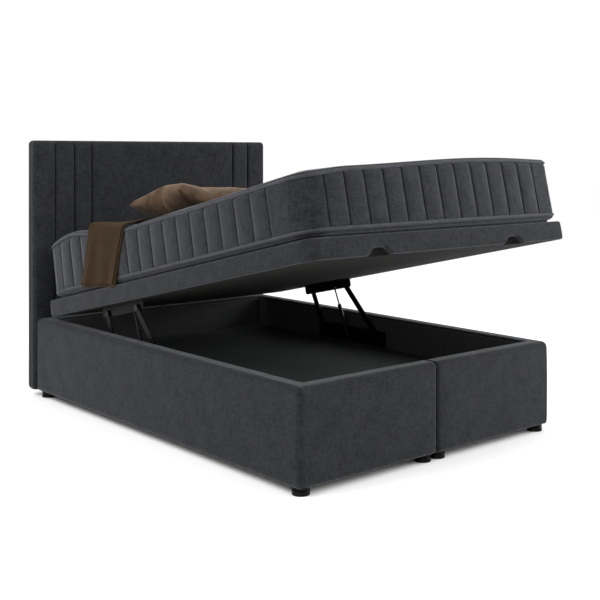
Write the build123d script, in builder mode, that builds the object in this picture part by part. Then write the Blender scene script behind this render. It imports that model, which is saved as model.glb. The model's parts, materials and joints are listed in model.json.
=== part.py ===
"""Ottoman bed: two upholstered base halves, a tall headboard and a lid that lifts a mattress."""

import os
from math import atan2, cos, degrees, hypot, radians, sin, sqrt

from build123d import *

os.makedirs("parts", exist_ok=True)

# Overall sizes, in millimetres
bed_width = 1400.0
bed_length = 2000.0
rim_height = 384.0
glide_height = 30.0
headboard_overhang = 18.0
headboard_height = 1256.0
headboard_depth = 65.0
mattress_edge_height = 250.0
mattress_crown = 30.0

# The lid is drawn raised: its head edge has moved towards the foot and up
lid_side_overhang = 10.0
lid_foot_overhang = 20.0
lid_head_gap = 45.0
lid_height = 78.0
lid_open_angle = 12.4
lid_open_advance = 100.0
lid_open_lift = 20.0
lid_seat_gap = 0.3
band_edge_radius = 7.0

# Walls of the base, from the outside in
cover_thickness = 14.0
panel_thickness = 56.0
lining_thickness = 3.0
split_gap = 2.0
split_skin = 4.0
floor_height = 225.0
floor_thickness = 12.0

# Running fits, contact gaps and overrun
fit_clearance = 0.05
hole_clearance = 0.25
soft_gap = 0.3
cut_overrun = 5.0

# Places that follow from the sizes above
open_angle = radians(lid_open_angle)
wall = cover_thickness + panel_thickness + lining_thickness
lid_width = bed_width + 2 * lid_side_overhang
lid_length = bed_length + lid_foot_overhang - lid_head_gap
edge_pull = band_edge_radius * (cos(open_angle) + sin(open_angle) - 1)
lid_run = lid_length * cos(open_angle)
lid_reach = lid_run - (bed_length - lid_head_gap - lid_open_advance) - edge_pull
foot_y = (lid_reach - bed_length - headboard_depth) / 2
head_y = foot_y + bed_length
closed_head_y = head_y - lid_head_gap
closed_head_z = rim_height + lid_seat_gap
open_head_y = closed_head_y - lid_open_advance
open_head_z = closed_head_z + lid_open_lift
side_face = bed_width / 2
headboard_width = bed_width + 2 * headboard_overhang
panel_outer_x = side_face - cover_thickness
panel_inner_x = panel_outer_x - panel_thickness
inner_x = side_face - wall
foot_inner_y = foot_y + wall
head_inner_y = head_y - wall
foot_panel_y = foot_y + cover_thickness
foot_panel_inner_y = foot_panel_y + panel_thickness
head_panel_y = head_y - cover_thickness
head_panel_inner_y = head_panel_y - panel_thickness
split_x = split_gap / 2
inner_end_x = split_x + split_skin
panel_top = rim_height - cover_thickness
floor_underside = floor_height - floor_thickness

sides = {"left": -1, "right": 1}
middle = (Align.CENTER, Align.CENTER, Align.CENTER)
lid_normal = (0, sin(open_angle), cos(open_angle))
lid_plane = Plane(origin=(0, open_head_y, open_head_z), x_dir=(1, 0, 0), z_dir=lid_normal)


def save(builder, name):
    """Label a finished piece and write it."""
    builder.part.label = name
    export_step(builder.part, f"parts/{name}.step")


def span_box(x_range, y_range, z_range, mode=Mode.ADD):
    """A box given by its lowest and highest places along each axis."""
    sizes = [abs(high - low) for low, high in (x_range, y_range, z_range)]
    centre = [(low + high) / 2 for low, high in (x_range, y_range, z_range)]
    with Locations(tuple(centre)):
        Box(*sizes, align=middle, mode=mode)


def rod(start, end, radius, mode=Mode.ADD):
    """A round bar from one point to another."""
    run = Vector(*end) - Vector(*start)
    with BuildSketch(Plane(origin=start, z_dir=run)) as section:
        Circle(radius)
    extrude(section.sketch, amount=run.length, mode=mode)


def cross_rod(x_range, spot, radius, mode=Mode.ADD):
    """A round bar along X between two places, centred on a (y, z) spot."""
    rod((min(x_range), *spot), (max(x_range), *spot), radius, mode)


def mirror_range(side, low, high):
    """A stretch of X on one side of the bed, in rising order."""
    return tuple(sorted((side * low, side * high)))


def lid_level(rise):
    """The plane at a height above the underside of the raised lid, with Y towards the head."""
    return lid_plane.offset(rise)


def lid_box(x_range, along_range, rise_range, mode=Mode.ADD):
    """A box on the raised lid, measured from its head edge towards the foot."""
    width = abs(x_range[1] - x_range[0])
    length = abs(along_range[1] - along_range[0])
    with BuildSketch(lid_level(rise_range[0])) as outline:
        with Locations((sum(x_range) / 2, -sum(along_range) / 2)):
            Rectangle(width, length)
    extrude(outline.sketch, amount=rise_range[1] - rise_range[0], mode=mode)


def lid_spot(head_yz, angle, along, rise):
    """Where a point of the lid lies, as (y, z), for a given place of the lid's head edge."""
    y = head_yz[0] - along * cos(angle) + rise * sin(angle)
    z = head_yz[1] + along * sin(angle) + rise * cos(angle)
    return (y, z)


def open_spot(along, rise):
    """A point of the raised lid as (y, z)."""
    return lid_spot((open_head_y, open_head_z), open_angle, along, rise)


def closed_spot(along, rise):
    """The same point with the lid shut."""
    return lid_spot((closed_head_y, closed_head_z), 0, along, rise)


def lid_rod(x, along, rise_range, radius, mode=Mode.ADD):
    """A round bar square to the lid."""
    start = (x, *open_spot(along, rise_range[0]))
    end = (x, *open_spot(along, rise_range[1]))
    rod(start, end, radius, mode)


# Lift mechanism: two arms each side carry the lid, and a gas strut pushes it up
rail_thickness = 3.0
arm_thickness = 5.0
arm_side_gap = 2.0
arm_bracket_gap = 3.0
bracket_thickness = 3.0
rear_arm_length = 200.0
front_arm_length = 350.0
arm_width = 30.0
rear_pin_along = 400.0
front_pin_along = 660.0
upper_pin_drop = 30.0
pivot_radius = 5.0
open_pivot_radius = 4.0
open_pivot_hole_radius = 8.5
pin_head_radius = 9.0
pin_head_thickness = 3.0
washer_radius = 13.0
washer_thickness = 1.2
head_gap = 0.3

rail_x = inner_x - rail_thickness
arm_outer_x = rail_x - arm_side_gap
arm_inner_x = arm_outer_x - arm_thickness
bracket_outer_x = arm_inner_x - arm_bracket_gap
bracket_inner_x = bracket_outer_x - bracket_thickness


def base_pivot(along, rise, length):
    """The fixed pivot of an arm that reaches one lid point both open and shut."""
    open_yz = open_spot(along, rise)
    closed_yz = closed_spot(along, rise)
    chord = (closed_yz[0] - open_yz[0], closed_yz[1] - open_yz[1])
    span = hypot(*chord)
    height = sqrt(length * length - span * span / 4)
    y = (open_yz[0] + closed_yz[0]) / 2 + chord[1] / span * height
    z = (open_yz[1] + closed_yz[1]) / 2 - chord[0] / span * height
    return (y, z)


def turn_between(pivot, first, last):
    """The angle, in degrees, from one spot to another as seen from a pivot."""
    start = atan2(first[1] - pivot[1], first[0] - pivot[0])
    finish = atan2(last[1] - pivot[1], last[0] - pivot[0])
    return degrees(finish - start)


rear_base = base_pivot(rear_pin_along, -upper_pin_drop, rear_arm_length)
front_base = base_pivot(front_pin_along, -upper_pin_drop, front_arm_length)
rear_open = open_spot(rear_pin_along, -upper_pin_drop)
front_open = open_spot(front_pin_along, -upper_pin_drop)
rear_closed = closed_spot(rear_pin_along, -upper_pin_drop)
front_closed = closed_spot(front_pin_along, -upper_pin_drop)

# Gas strut: its lower stud is on the base rail, its upper stud on the lid bracket
strut_foot_height = 250.0
strut_foot_ahead = 218.7
strut_top_along = 600.0
strut_top_drop = 30.0
strut_stud_radius = 4.0
strut_stud_head_radius = 7.8
strut_inset = 14.0
strut_radius = 10.0
strut_bore_radius = 8.0
strut_rod_radius = 4.0
strut_tube_length = 168.0
strut_guide_length = 8.0
strut_piston_length = 10.0
strut_piston_start = 42.0
knuckle_radius = 11.0
knuckle_thickness = 12.0
knuckle_neck = 14.0
knuckle_neck_radius = 5.0

strut_foot = (rear_base[0] - strut_foot_ahead, strut_foot_height)
strut_top = open_spot(strut_top_along, -strut_top_drop)
strut_top_closed = closed_spot(strut_top_along, -strut_top_drop)
strut_open_length = hypot(strut_top[0] - strut_foot[0], strut_top[1] - strut_foot[1])
strut_closed_length = hypot(
    strut_top_closed[0] - strut_foot[0], strut_top_closed[1] - strut_foot[1]
)
strut_x = bracket_inner_x - strut_inset

print("rear base pivot", rear_base, "open", rear_open, "closed", rear_closed)
print("front base pivot", front_base, "open", front_open, "closed", front_closed)
print("rear arm turn", turn_between(rear_base, rear_open, rear_closed))
print("front arm turn", turn_between(front_base, front_open, front_closed))
print("strut foot", strut_foot, "top", strut_top, "closed top", strut_top_closed)
print("strut turn", turn_between(strut_foot, strut_top, strut_top_closed))
print("strut lengths", strut_open_length, strut_closed_length)
print("lid head edge", (open_head_y, open_head_z), "foot face", foot_y, "head face", head_y)

# Base covers: a padded fabric shell for each half, over the side, foot and head panels
base_corner_radius = 24.0
base_head_radius = 6.0
split_radius = 9.0
rim_radius = 10.0
rim_inner_radius = 6.0
cover_foot_radius = 12.0
headboard_bolt_x = 250.0
headboard_bolt_heights = (90.0, 170.0)
headboard_bolt_radius = 5.0

bolt_spots = [(headboard_bolt_x, height) for height in headboard_bolt_heights]

for side_name, side in sides.items():
    with BuildPart() as base_cover:
        half_x = mirror_range(side, split_x, side_face)
        span_box(half_x, (foot_y, head_y), (glide_height, rim_height))
        outer_edges = base_cover.edges().filter_by(Axis.Z).sort_by(Axis.X, reverse=side > 0)
        foot_corner = outer_edges[:2].sort_by(Axis.Y)[0]
        head_corner = outer_edges[:2].sort_by(Axis.Y)[-1]
        split_edges = outer_edges[2:]
        fillet(foot_corner, base_corner_radius)
        fillet(head_corner, base_head_radius)
        fillet(split_edges, split_radius)
        fillet(base_cover.faces().sort_by(Axis.Z)[-1].edges(), rim_radius)
        fillet(base_cover.faces().sort_by(Axis.Z)[0].edges(), cover_foot_radius)
        span_box(
            mirror_range(side, -cut_overrun, inner_x),
            (foot_inner_y, head_inner_y),
            (0, rim_height + cut_overrun),
            mode=Mode.SUBTRACT,
        )
        rim_edges = base_cover.faces().sort_by(Axis.Z)[-1].edges().filter_by_position(
            Axis.Y, foot_inner_y, head_inner_y
        )
        fillet(rim_edges, rim_inner_radius)
        span_box(
            mirror_range(side, inner_end_x, panel_outer_x),
            (foot_panel_y, head_panel_y),
            (0, panel_top),
            mode=Mode.SUBTRACT,
        )
        span_box(
            mirror_range(side, -cut_overrun, inner_end_x),
            (foot_panel_inner_y, head_panel_inner_y),
            (0, panel_top),
            mode=Mode.SUBTRACT,
        )
        for x, height in bolt_spots:
            start = (side * x, head_panel_y - cut_overrun, height)
            end = (side * x, head_y + cut_overrun, height)
            rod(start, end, headboard_bolt_radius + hole_clearance, mode=Mode.SUBTRACT)
    save(base_cover, f"base_cover_{side_name}")

# Rails of the mechanism, screwed flat to the inner walls
rail_end_margin = 40.0
rail_low_margin = 20.0
rail_top_margin = 28.0
rail_corner_radius = 8.0
rail_screw_radius = 3.0
rail_screw_head_radius = 6.0
rail_screw_length = 36.0
rail_screw_inset = 12.0
rail_screw_shares = (0.0, 0.3, 0.66, 1.0)
screw_head_depth = 1.6

rail_y = (front_base[0] - rail_end_margin, rear_base[0] + rail_end_margin)
rail_z = (strut_foot_height - rail_low_margin, rear_base[1] + rail_top_margin)
rail_run = rail_y[1] - rail_y[0] - 2 * rail_screw_inset
rail_screw_spots = [
    (rail_y[0] + rail_screw_inset + share * rail_run, height)
    for share in rail_screw_shares
    for height in (rail_z[0] + rail_screw_inset, rail_z[1] - rail_screw_inset)
]

for side_name, side in sides.items():
    with BuildPart() as base_rail:
        span_box(mirror_range(side, rail_x, inner_x), rail_y, rail_z)
        fillet(base_rail.edges().filter_by(Axis.X), rail_corner_radius)
        for spot in rail_screw_spots:
            through = mirror_range(side, rail_x - cut_overrun, inner_x + cut_overrun)
            sunk = mirror_range(side, rail_x - cut_overrun, rail_x + screw_head_depth)
            cross_rod(through, spot, rail_screw_radius + hole_clearance, Mode.SUBTRACT)
            cross_rod(sunk, spot, rail_screw_head_radius + hole_clearance, Mode.SUBTRACT)
    save(base_rail, f"base_rail_{side_name}")

with BuildPart() as rail_screws:
    for side in sides.values():
        for spot in rail_screw_spots:
            shank = mirror_range(side, rail_x, rail_x + rail_screw_length)
            head = mirror_range(side, rail_x, rail_x + screw_head_depth)
            cross_rod(shank, spot, rail_screw_radius)
            cross_rod(head, spot, rail_screw_head_radius)
save(rail_screws, "rail_screws")

# Timber panels of each half: a long side, with the foot and head panels butted against it
glide_inset = 42.0
middle_glide_x = 40.0
glide_bolt_radius = 4.0
glide_bolt_length = 40.0
middle_rail_thickness = 25.0
middle_rail_low = 60.0
connector_radius = 4.0
connector_height = 130.0
connector_shares = (0.12, 0.5, 0.88)

glide_x = panel_outer_x - panel_thickness / 2
glide_places = [
    (side * x, y)
    for side in sides.values()
    for x in (glide_x, middle_glide_x)
    for y in (foot_y + glide_inset, head_y - glide_inset)
]
bolt_hole_z = (glide_height - cut_overrun, glide_height + glide_bolt_length)


def glide_holes():
    """Drill the panel being made for the bolts of the glides under it."""
    for x, y in glide_places:
        start = (x, y, bolt_hole_z[0])
        end = (x, y, bolt_hole_z[1] + hole_clearance)
        rod(start, end, glide_bolt_radius + hole_clearance, Mode.SUBTRACT)


for side_name, side in sides.items():
    side_x = mirror_range(side, panel_inner_x, panel_outer_x)
    end_x = mirror_range(side, inner_end_x, panel_inner_x)
    with BuildPart() as side_panel:
        span_box(side_x, (foot_panel_y, head_panel_y), (glide_height, panel_top))
        glide_holes()
        for spot in rail_screw_spots:
            drilled = mirror_range(side, inner_x, rail_x + rail_screw_length + hole_clearance)
            cross_rod(drilled, spot, rail_screw_radius + hole_clearance, Mode.SUBTRACT)
    save(side_panel, f"side_panel_{side_name}")
    with BuildPart() as foot_panel:
        span_box(end_x, (foot_panel_y, foot_panel_inner_y), (glide_height, panel_top))
        glide_holes()
    save(foot_panel, f"foot_panel_{side_name}")
    with BuildPart() as head_panel:
        span_box(end_x, (head_panel_inner_y, head_panel_y), (glide_height, panel_top))
        glide_holes()
        for x, height in bolt_spots:
            start = (side * x, head_panel_inner_y - cut_overrun, height)
            end = (side * x, head_panel_y + cut_overrun, height)
            rod(start, end, headboard_bolt_radius + hole_clearance, mode=Mode.SUBTRACT)
    save(head_panel, f"head_panel_{side_name}")

# Middle rails stand back to back under the floor, and bolts draw the halves together
rail_far_x = inner_end_x + middle_rail_thickness
middle_rail_run = head_panel_inner_y - foot_panel_inner_y
connector_places = [foot_panel_inner_y + share * middle_rail_run for share in connector_shares]
connector_head_radius = 8.0
connector_head_thickness = 5.0

for side_name, side in sides.items():
    with BuildPart() as middle_rail:
        span_box(
            mirror_range(side, inner_end_x, rail_far_x),
            (foot_panel_inner_y, head_panel_inner_y),
            (middle_rail_low, floor_underside),
        )
        for y in connector_places:
            drilled = mirror_range(side, 0, rail_far_x + cut_overrun)
            cross_rod(
                drilled, (y, connector_height), connector_radius + hole_clearance, Mode.SUBTRACT
            )
    save(middle_rail, f"middle_rail_{side_name}")

with BuildPart() as half_connectors:
    for y in connector_places:
        spot = (y, connector_height)
        cross_rod((-rail_far_x, rail_far_x), spot, connector_radius)
        for side in sides.values():
            head = mirror_range(side, rail_far_x, rail_far_x + connector_head_thickness)
            cross_rod(head, spot, connector_head_radius)
save(half_connectors, "half_connectors")

# Corner blocks and the bearers that carry the storage floor
block_size = 60.0
block_low = 50.0
cleat_size = 20.0
batten_width = 45.0
batten_shares = (0.25, 0.5, 0.75)

cleat_low = floor_underside - cleat_size

with BuildPart() as corner_blocks:
    for side in sides.values():
        for y_range in (
            (foot_panel_inner_y, foot_panel_inner_y + block_size),
            (head_panel_inner_y - block_size, head_panel_inner_y),
        ):
            outer_x = mirror_range(side, panel_inner_x - block_size, panel_inner_x)
            span_box(outer_x, y_range, (block_low, cleat_low))
save(corner_blocks, "corner_blocks")

for side_name, side in sides.items():
    cleat_x = panel_inner_x - cleat_size
    with BuildPart() as floor_bearers:
        span_box(
            mirror_range(side, cleat_x, panel_inner_x),
            (foot_panel_inner_y, head_panel_inner_y),
            (cleat_low, floor_underside),
        )
        inner_span = mirror_range(side, rail_far_x, cleat_x)
        for y_range in (
            (foot_panel_inner_y, foot_panel_inner_y + cleat_size),
            (head_panel_inner_y - cleat_size, head_panel_inner_y),
        ):
            span_box(inner_span, y_range, (cleat_low, floor_underside))
        for share in batten_shares:
            y = foot_panel_inner_y + share * middle_rail_run
            y_range = (y - batten_width / 2, y + batten_width / 2)
            span_box(inner_span, y_range, (cleat_low, floor_underside))
    save(floor_bearers, f"floor_bearers_{side_name}")
    with BuildPart() as storage_floor:
        span_box(
            mirror_range(side, split_x, panel_inner_x),
            (foot_panel_inner_y, head_panel_inner_y),
            (floor_underside, floor_height),
        )
    save(storage_floor, f"storage_floor_{side_name}")

# Black lining on the inner walls, and a thin dust cover under each half
dust_cover_thickness = 1.5

for side_name, side in sides.items():
    with BuildPart() as side_lining:
        span_box(
            mirror_range(side, inner_x, panel_inner_x),
            (foot_panel_inner_y, head_panel_inner_y),
            (floor_height, panel_top),
        )
        for spot in rail_screw_spots:
            drilled = mirror_range(side, inner_x - cut_overrun, panel_inner_x + cut_overrun)
            cross_rod(drilled, spot, rail_screw_radius + hole_clearance, Mode.SUBTRACT)
    save(side_lining, f"side_lining_{side_name}")

for end_name, y_range in {
    "foot": (foot_panel_inner_y, foot_inner_y),
    "head": (head_inner_y, head_panel_inner_y),
}.items():
    with BuildPart() as end_lining:
        span_box((-inner_x, inner_x), y_range, (floor_height, panel_top))
    save(end_lining, f"{end_name}_lining")

with BuildPart() as dust_covers:
    for side in sides.values():
        span_box(
            mirror_range(side, inner_end_x, panel_inner_x),
            (foot_panel_inner_y, head_panel_inner_y),
            (glide_height, glide_height + dust_cover_thickness),
        )
save(dust_covers, "dust_covers")

# Glides: turned plastic feet with a waist, each on a bolt
glide_radius = 33.0
glide_waist_radius = 27.0
glide_flange_height = 7.0
glide_waist_height = 6.0
glide_edge_radius = 2.0
glide_bolt_sink = 18.0

with BuildPart() as glides:
    for x, y in glide_places:
        waist_low = glide_height - glide_flange_height - glide_waist_height
        rod((x, y, 0), (x, y, waist_low), glide_radius)
        rod((x, y, waist_low), (x, y, glide_height - glide_flange_height), glide_waist_radius)
        rod((x, y, glide_height - glide_flange_height), (x, y, glide_height), glide_radius)
    rims = glides.edges().filter_by(GeomType.CIRCLE).filter_by_position(Axis.Z, 0, waist_low)
    fillet(rims.group_by(SortBy.RADIUS)[-1], glide_edge_radius)
    for x, y in glide_places:
        start = (x, y, glide_height - glide_bolt_sink)
        end = (x, y, glide_height + cut_overrun)
        rod(start, end, glide_bolt_radius, Mode.SUBTRACT)
save(glides, "glides")

with BuildPart() as glide_bolts:
    for x, y in glide_places:
        start = (x, y, glide_height - glide_bolt_sink)
        end = (x, y, glide_height + glide_bolt_length)
        rod(start, end, glide_bolt_radius)
save(glide_bolts, "glide_bolts")

# Headboard: a board in a fabric case, with padded panels and strips on its front
front_pad_thickness = 27.0
case_side = 10.0
case_back = 8.0
outer_panel_width = 119.0
outer_strip_width = 106.0
inner_strip_width = 97.0
panel_edge_radius = 9.0
case_edge_radius = 8.0
groove_gap = 0.6
bolt_head_radius = 11.0
bolt_head_thickness = 6.0
bolt_seat_depth = 20.0

headboard_side = headboard_width / 2
pad_y = (head_y, head_y + front_pad_thickness)
case_y = (pad_y[1], head_y + headboard_depth)
board_y = (pad_y[1], case_y[1] - case_back)
left_edge = -headboard_side
right_edge = headboard_side
centre_left = left_edge + outer_panel_width + outer_strip_width + inner_strip_width
centre_right = right_edge - outer_panel_width - outer_strip_width
headboard_pads = {
    "headboard_panel_left": (left_edge, left_edge + outer_panel_width),
    "headboard_strip_1": (
        left_edge + outer_panel_width,
        left_edge + outer_panel_width + outer_strip_width,
    ),
    "headboard_strip_2": (centre_left - inner_strip_width, centre_left),
    "headboard_panel_centre": (centre_left, centre_right),
    "headboard_strip_3": (centre_right, centre_right + outer_strip_width),
    "headboard_panel_right": (right_edge - outer_panel_width, right_edge),
}

for pad_name, (low_x, high_x) in headboard_pads.items():
    low_x += groove_gap / 2 if low_x > left_edge else 0
    high_x -= groove_gap / 2 if high_x < right_edge else 0
    with BuildPart() as pad:
        span_box((low_x, high_x), pad_y, (glide_height, headboard_height))
        fillet(pad.faces().sort_by(Axis.Y)[0].edges(), panel_edge_radius)
        for side in sides.values():
            for x, height in bolt_spots:
                start = (side * x, pad_y[0] - cut_overrun, height)
                end = (side * x, pad_y[1] + cut_overrun, height)
                rod(start, end, headboard_bolt_radius + hole_clearance, Mode.SUBTRACT)
    save(pad, pad_name)

with BuildPart() as headboard_board:
    span_box(
        (left_edge + case_side, right_edge - case_side),
        board_y,
        (glide_height, headboard_height - case_side),
    )
    for side in sides.values():
        for x, height in bolt_spots:
            start = (side * x, board_y[0] - cut_overrun, height)
            end = (side * x, board_y[0] + bolt_seat_depth + hole_clearance, height)
            rod(start, end, headboard_bolt_radius + hole_clearance, Mode.SUBTRACT)
save(headboard_board, "headboard_board")

with BuildPart() as headboard_case:
    span_box((left_edge, right_edge), case_y, (glide_height, headboard_height))
    fillet(headboard_case.faces().sort_by(Axis.Y)[-1].edges(), case_edge_radius)
    span_box(
        (left_edge + case_side, right_edge - case_side),
        (case_y[0] - cut_overrun, board_y[1]),
        (glide_height - cut_overrun, headboard_height - case_side),
        mode=Mode.SUBTRACT,
    )
save(headboard_case, "headboard_case")

with BuildPart() as headboard_bolts:
    for side in sides.values():
        for x, height in bolt_spots:
            seat = (side * x, head_panel_inner_y, height)
            end = (side * x, board_y[0] + bolt_seat_depth, height)
            head_end = (side * x, head_panel_inner_y - bolt_head_thickness, height)
            rod(seat, end, headboard_bolt_radius)
            rod(head_end, seat, bolt_head_radius)
save(headboard_bolts, "headboard_bolts")

# Pins on the base rails: the arm pivots, and a stud for the foot of each strut
with BuildPart() as lower_pins:
    for side in sides.values():
        for spot in (rear_base, front_base):
            head_x = arm_inner_x - head_gap
            cross_rod(mirror_range(side, head_x, rail_x), spot, pivot_radius)
            head = mirror_range(side, head_x - pin_head_thickness, head_x)
            cross_rod(head, spot, pin_head_radius)
            collar = mirror_range(side, arm_outer_x + head_gap, rail_x)
            cross_rod(collar, spot, pin_head_radius)
        stud_end = strut_x - knuckle_thickness / 2 - head_gap
        cross_rod(mirror_range(side, stud_end, rail_x), strut_foot, strut_stud_radius)
        head = mirror_range(side, stud_end - washer_thickness, stud_end)
        cross_rod(head, strut_foot, strut_stud_head_radius)
save(lower_pins, "lower_pins")


def arm_bar(side, start, end, start_radius, end_radius):
    """A flat arm with round ends and a hole at each pivot."""
    mid = ((start[0] + end[0]) / 2, (start[1] + end[1]) / 2)
    length = hypot(end[0] - start[0], end[1] - start[1])
    direction = (0, end[0] - start[0], end[1] - start[1])
    face_x = min(mirror_range(side, arm_inner_x, arm_outer_x))
    plane = Plane(origin=(face_x, *mid), x_dir=direction, z_dir=(1, 0, 0))
    with BuildSketch(plane) as outline:
        SlotCenterToCenter(length, arm_width)
        with Locations((-length / 2, 0)):
            Circle(start_radius, mode=Mode.SUBTRACT)
        with Locations((length / 2, 0)):
            Circle(end_radius, mode=Mode.SUBTRACT)
    extrude(outline.sketch, amount=arm_thickness)


running_hole = pivot_radius + fit_clearance
for side_name, side in sides.items():
    with BuildPart() as rear_arm:
        arm_bar(side, rear_base, rear_open, running_hole, running_hole)
    save(rear_arm, f"rear_arm_{side_name}")
    with BuildPart() as front_arm:
        arm_bar(side, front_base, front_open, running_hole, open_pivot_hole_radius)
    save(front_arm, f"front_arm_{side_name}")

# Lid brackets: an angle under each side of the lid that carries the upper pins
bracket_end_margin = 50.0
bracket_flange_width = 40.0
bracket_drop = 46.0
bracket_corner_radius = 14.0
bracket_screw_radius = 4.0
bracket_screw_head_radius = 7.0
bracket_screw_head_thickness = 3.5
bracket_screw_length = 40.0
bracket_screw_inset = 25.0

bracket_along = (rear_pin_along - bracket_end_margin, front_pin_along + bracket_end_margin)
flange_x = bracket_outer_x - bracket_flange_width
bracket_screw_x = (flange_x + bracket_inner_x) / 2
bracket_screw_alongs = (
    bracket_along[0] + bracket_screw_inset,
    bracket_along[1] - bracket_screw_inset,
)


def hangs_low(edge):
    """Whether an edge of the bracket is in the lower half of its web."""
    return lid_plane.to_local_coords(edge.center()).Z < -bracket_drop / 2


for side_name, side in sides.items():
    with BuildPart() as lid_bracket:
        web_x = mirror_range(side, bracket_inner_x, bracket_outer_x)
        lid_box(web_x, bracket_along, (-bracket_drop, 0))
        lower_edges = lid_bracket.edges().filter_by(Axis.X)
        fillet(lower_edges.filter_by(hangs_low), bracket_corner_radius)
        lid_box(
            mirror_range(side, flange_x, bracket_outer_x), bracket_along, (-bracket_thickness, 0)
        )
        for along in bracket_screw_alongs:
            lid_rod(
                side * bracket_screw_x,
                along,
                (-bracket_thickness - cut_overrun, cut_overrun),
                bracket_screw_radius + hole_clearance,
                Mode.SUBTRACT,
            )
    save(lid_bracket, f"lid_bracket_{side_name}")

with BuildPart() as bracket_screws:
    for side in sides.values():
        for along in bracket_screw_alongs:
            x = side * bracket_screw_x
            shank = (-bracket_thickness, bracket_screw_length)
            head = (-bracket_thickness - bracket_screw_head_thickness, -bracket_thickness)
            lid_rod(x, along, shank, bracket_screw_radius)
            lid_rod(x, along, head, bracket_screw_head_radius)
save(bracket_screws, "bracket_screws")

# Pins on the lid brackets; the front one turns in a wide hole, behind broad washers
with BuildPart() as upper_pins:
    for side in sides.values():
        tail_x = arm_outer_x + head_gap
        boss = mirror_range(side, bracket_outer_x, arm_inner_x - head_gap)
        cross_rod(mirror_range(side, bracket_outer_x, tail_x), rear_open, pivot_radius)
        cross_rod(boss, rear_open, pin_head_radius)
        tail = mirror_range(side, tail_x, tail_x + washer_thickness)
        cross_rod(tail, rear_open, pin_head_radius)
        cross_rod(mirror_range(side, bracket_outer_x, tail_x), front_open, open_pivot_radius)
        cross_rod(boss, front_open, washer_radius)
        cross_rod(tail, front_open, washer_radius)
        stud_end = strut_x + knuckle_thickness / 2 + head_gap
        cross_rod(mirror_range(side, stud_end, bracket_inner_x), strut_top, knuckle_neck_radius)
save(upper_pins, "upper_pins")

# Gas struts: a tube with a rod and piston inside, and an eye at each end
strut_unit = (
    (strut_top[0] - strut_foot[0]) / strut_open_length,
    (strut_top[1] - strut_foot[1]) / strut_open_length,
)


def strut_point(x, distance):
    """A point on the strut's axis at a distance from its foot."""
    return (x, strut_foot[0] + strut_unit[0] * distance, strut_foot[1] + strut_unit[1] * distance)


tube_start = knuckle_neck
tube_end = tube_start + strut_tube_length
bore_range = (tube_start + strut_guide_length, tube_end - strut_guide_length)
piston_start = tube_end - strut_piston_start
piston_end = piston_start + strut_piston_length
rod_top = strut_open_length - knuckle_neck

for side_name, side in sides.items():
    x = side * strut_x
    eye_x = mirror_range(side, strut_x - knuckle_thickness / 2, strut_x + knuckle_thickness / 2)
    with BuildPart() as strut_cylinder:
        cross_rod(eye_x, strut_foot, knuckle_radius)
        rod(strut_point(x, 0), strut_point(x, tube_start + cut_overrun), knuckle_neck_radius)
        rod(strut_point(x, tube_start), strut_point(x, tube_end), strut_radius)
        rod(
            strut_point(x, bore_range[0]),
            strut_point(x, bore_range[1]),
            strut_bore_radius,
            Mode.SUBTRACT,
        )
        rod(
            strut_point(x, piston_end),
            strut_point(x, tube_end + cut_overrun),
            strut_rod_radius + fit_clearance,
            Mode.SUBTRACT,
        )
        cross_rod(eye_x, strut_foot, strut_stud_radius + fit_clearance, Mode.SUBTRACT)
    save(strut_cylinder, f"strut_cylinder_{side_name}")
    with BuildPart() as strut_rod:
        cross_rod(eye_x, strut_top, knuckle_radius)
        rod(strut_point(x, rod_top - cut_overrun), strut_point(x, strut_open_length), knuckle_neck_radius)
        rod(strut_point(x, piston_start), strut_point(x, rod_top), strut_rod_radius)
        rod(
            strut_point(x, piston_start),
            strut_point(x, piston_end),
            strut_bore_radius - fit_clearance,
        )
    save(strut_rod, f"strut_rod_{side_name}")

# Lid frame: timber rails round the edge, bearers across, and a deck board on top
lid_skin = 12.0
lid_top_skin = 6.0
lid_lining_thickness = 2.0
lid_rail_width = 40.0
deck_thickness = 12.0
bearer_width = 60.0
slat_shares = (0.1, 0.5, 0.66, 0.83)
notch_x = 378.0
notch_width = 130.0
notch_top_width = 64.0
notch_height = 29.0
notch_depth = 40.0
notch_radius = 12.0
lid_corner_radius = 50.0

lid_side = lid_width / 2
frame_side = lid_side - lid_skin
frame_along = (lid_skin, lid_length - lid_skin)
frame_rise = (lid_lining_thickness, lid_height - lid_top_skin - deck_thickness)
deck_rise = (frame_rise[1], lid_height - lid_top_skin)
frame_corner_radius = lid_corner_radius - lid_skin
slat_run = frame_along[1] - frame_along[0]
bearer_alongs = [frame_along[0] + share * slat_run for share in slat_shares]
bearer_alongs += list(bracket_screw_alongs)


def lid_outline(inset, rise_range, radius, mode=Mode.ADD):
    """A plate of the lid's outline, drawn in by an inset, with round corners."""
    with BuildSketch(lid_level(rise_range[0])) as outline:
        with Locations((0, -lid_length / 2)):
            RectangleRounded(lid_width - 2 * inset, lid_length - 2 * inset, radius)
    extrude(outline.sketch, amount=rise_range[1] - rise_range[0], mode=mode)


def cut_notches():
    """Cut the two hand notches into the foot end of the piece being made."""
    foot_origin = (0, *open_spot(lid_length + cut_overrun, 0))
    inward = (0, cos(open_angle), -sin(open_angle))
    face_plane = Plane(origin=foot_origin, x_dir=(-1, 0, 0), z_dir=inward)
    for side in sides.values():
        with BuildSketch(face_plane) as profile:
            with BuildLine():
                Polyline(
                    (side * notch_x - notch_width / 2, -cut_overrun),
                    (side * notch_x - notch_width / 2, 0),
                    (side * notch_x - notch_top_width / 2, notch_height),
                    (side * notch_x + notch_top_width / 2, notch_height),
                    (side * notch_x + notch_width / 2, 0),
                    (side * notch_x + notch_width / 2, -cut_overrun),
                    close=True,
                )
            make_face()
            fillet(profile.vertices().sort_by(Axis.Y)[-2:], notch_radius)
        extrude(profile.sketch, amount=notch_depth + cut_overrun, mode=Mode.SUBTRACT)


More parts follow.
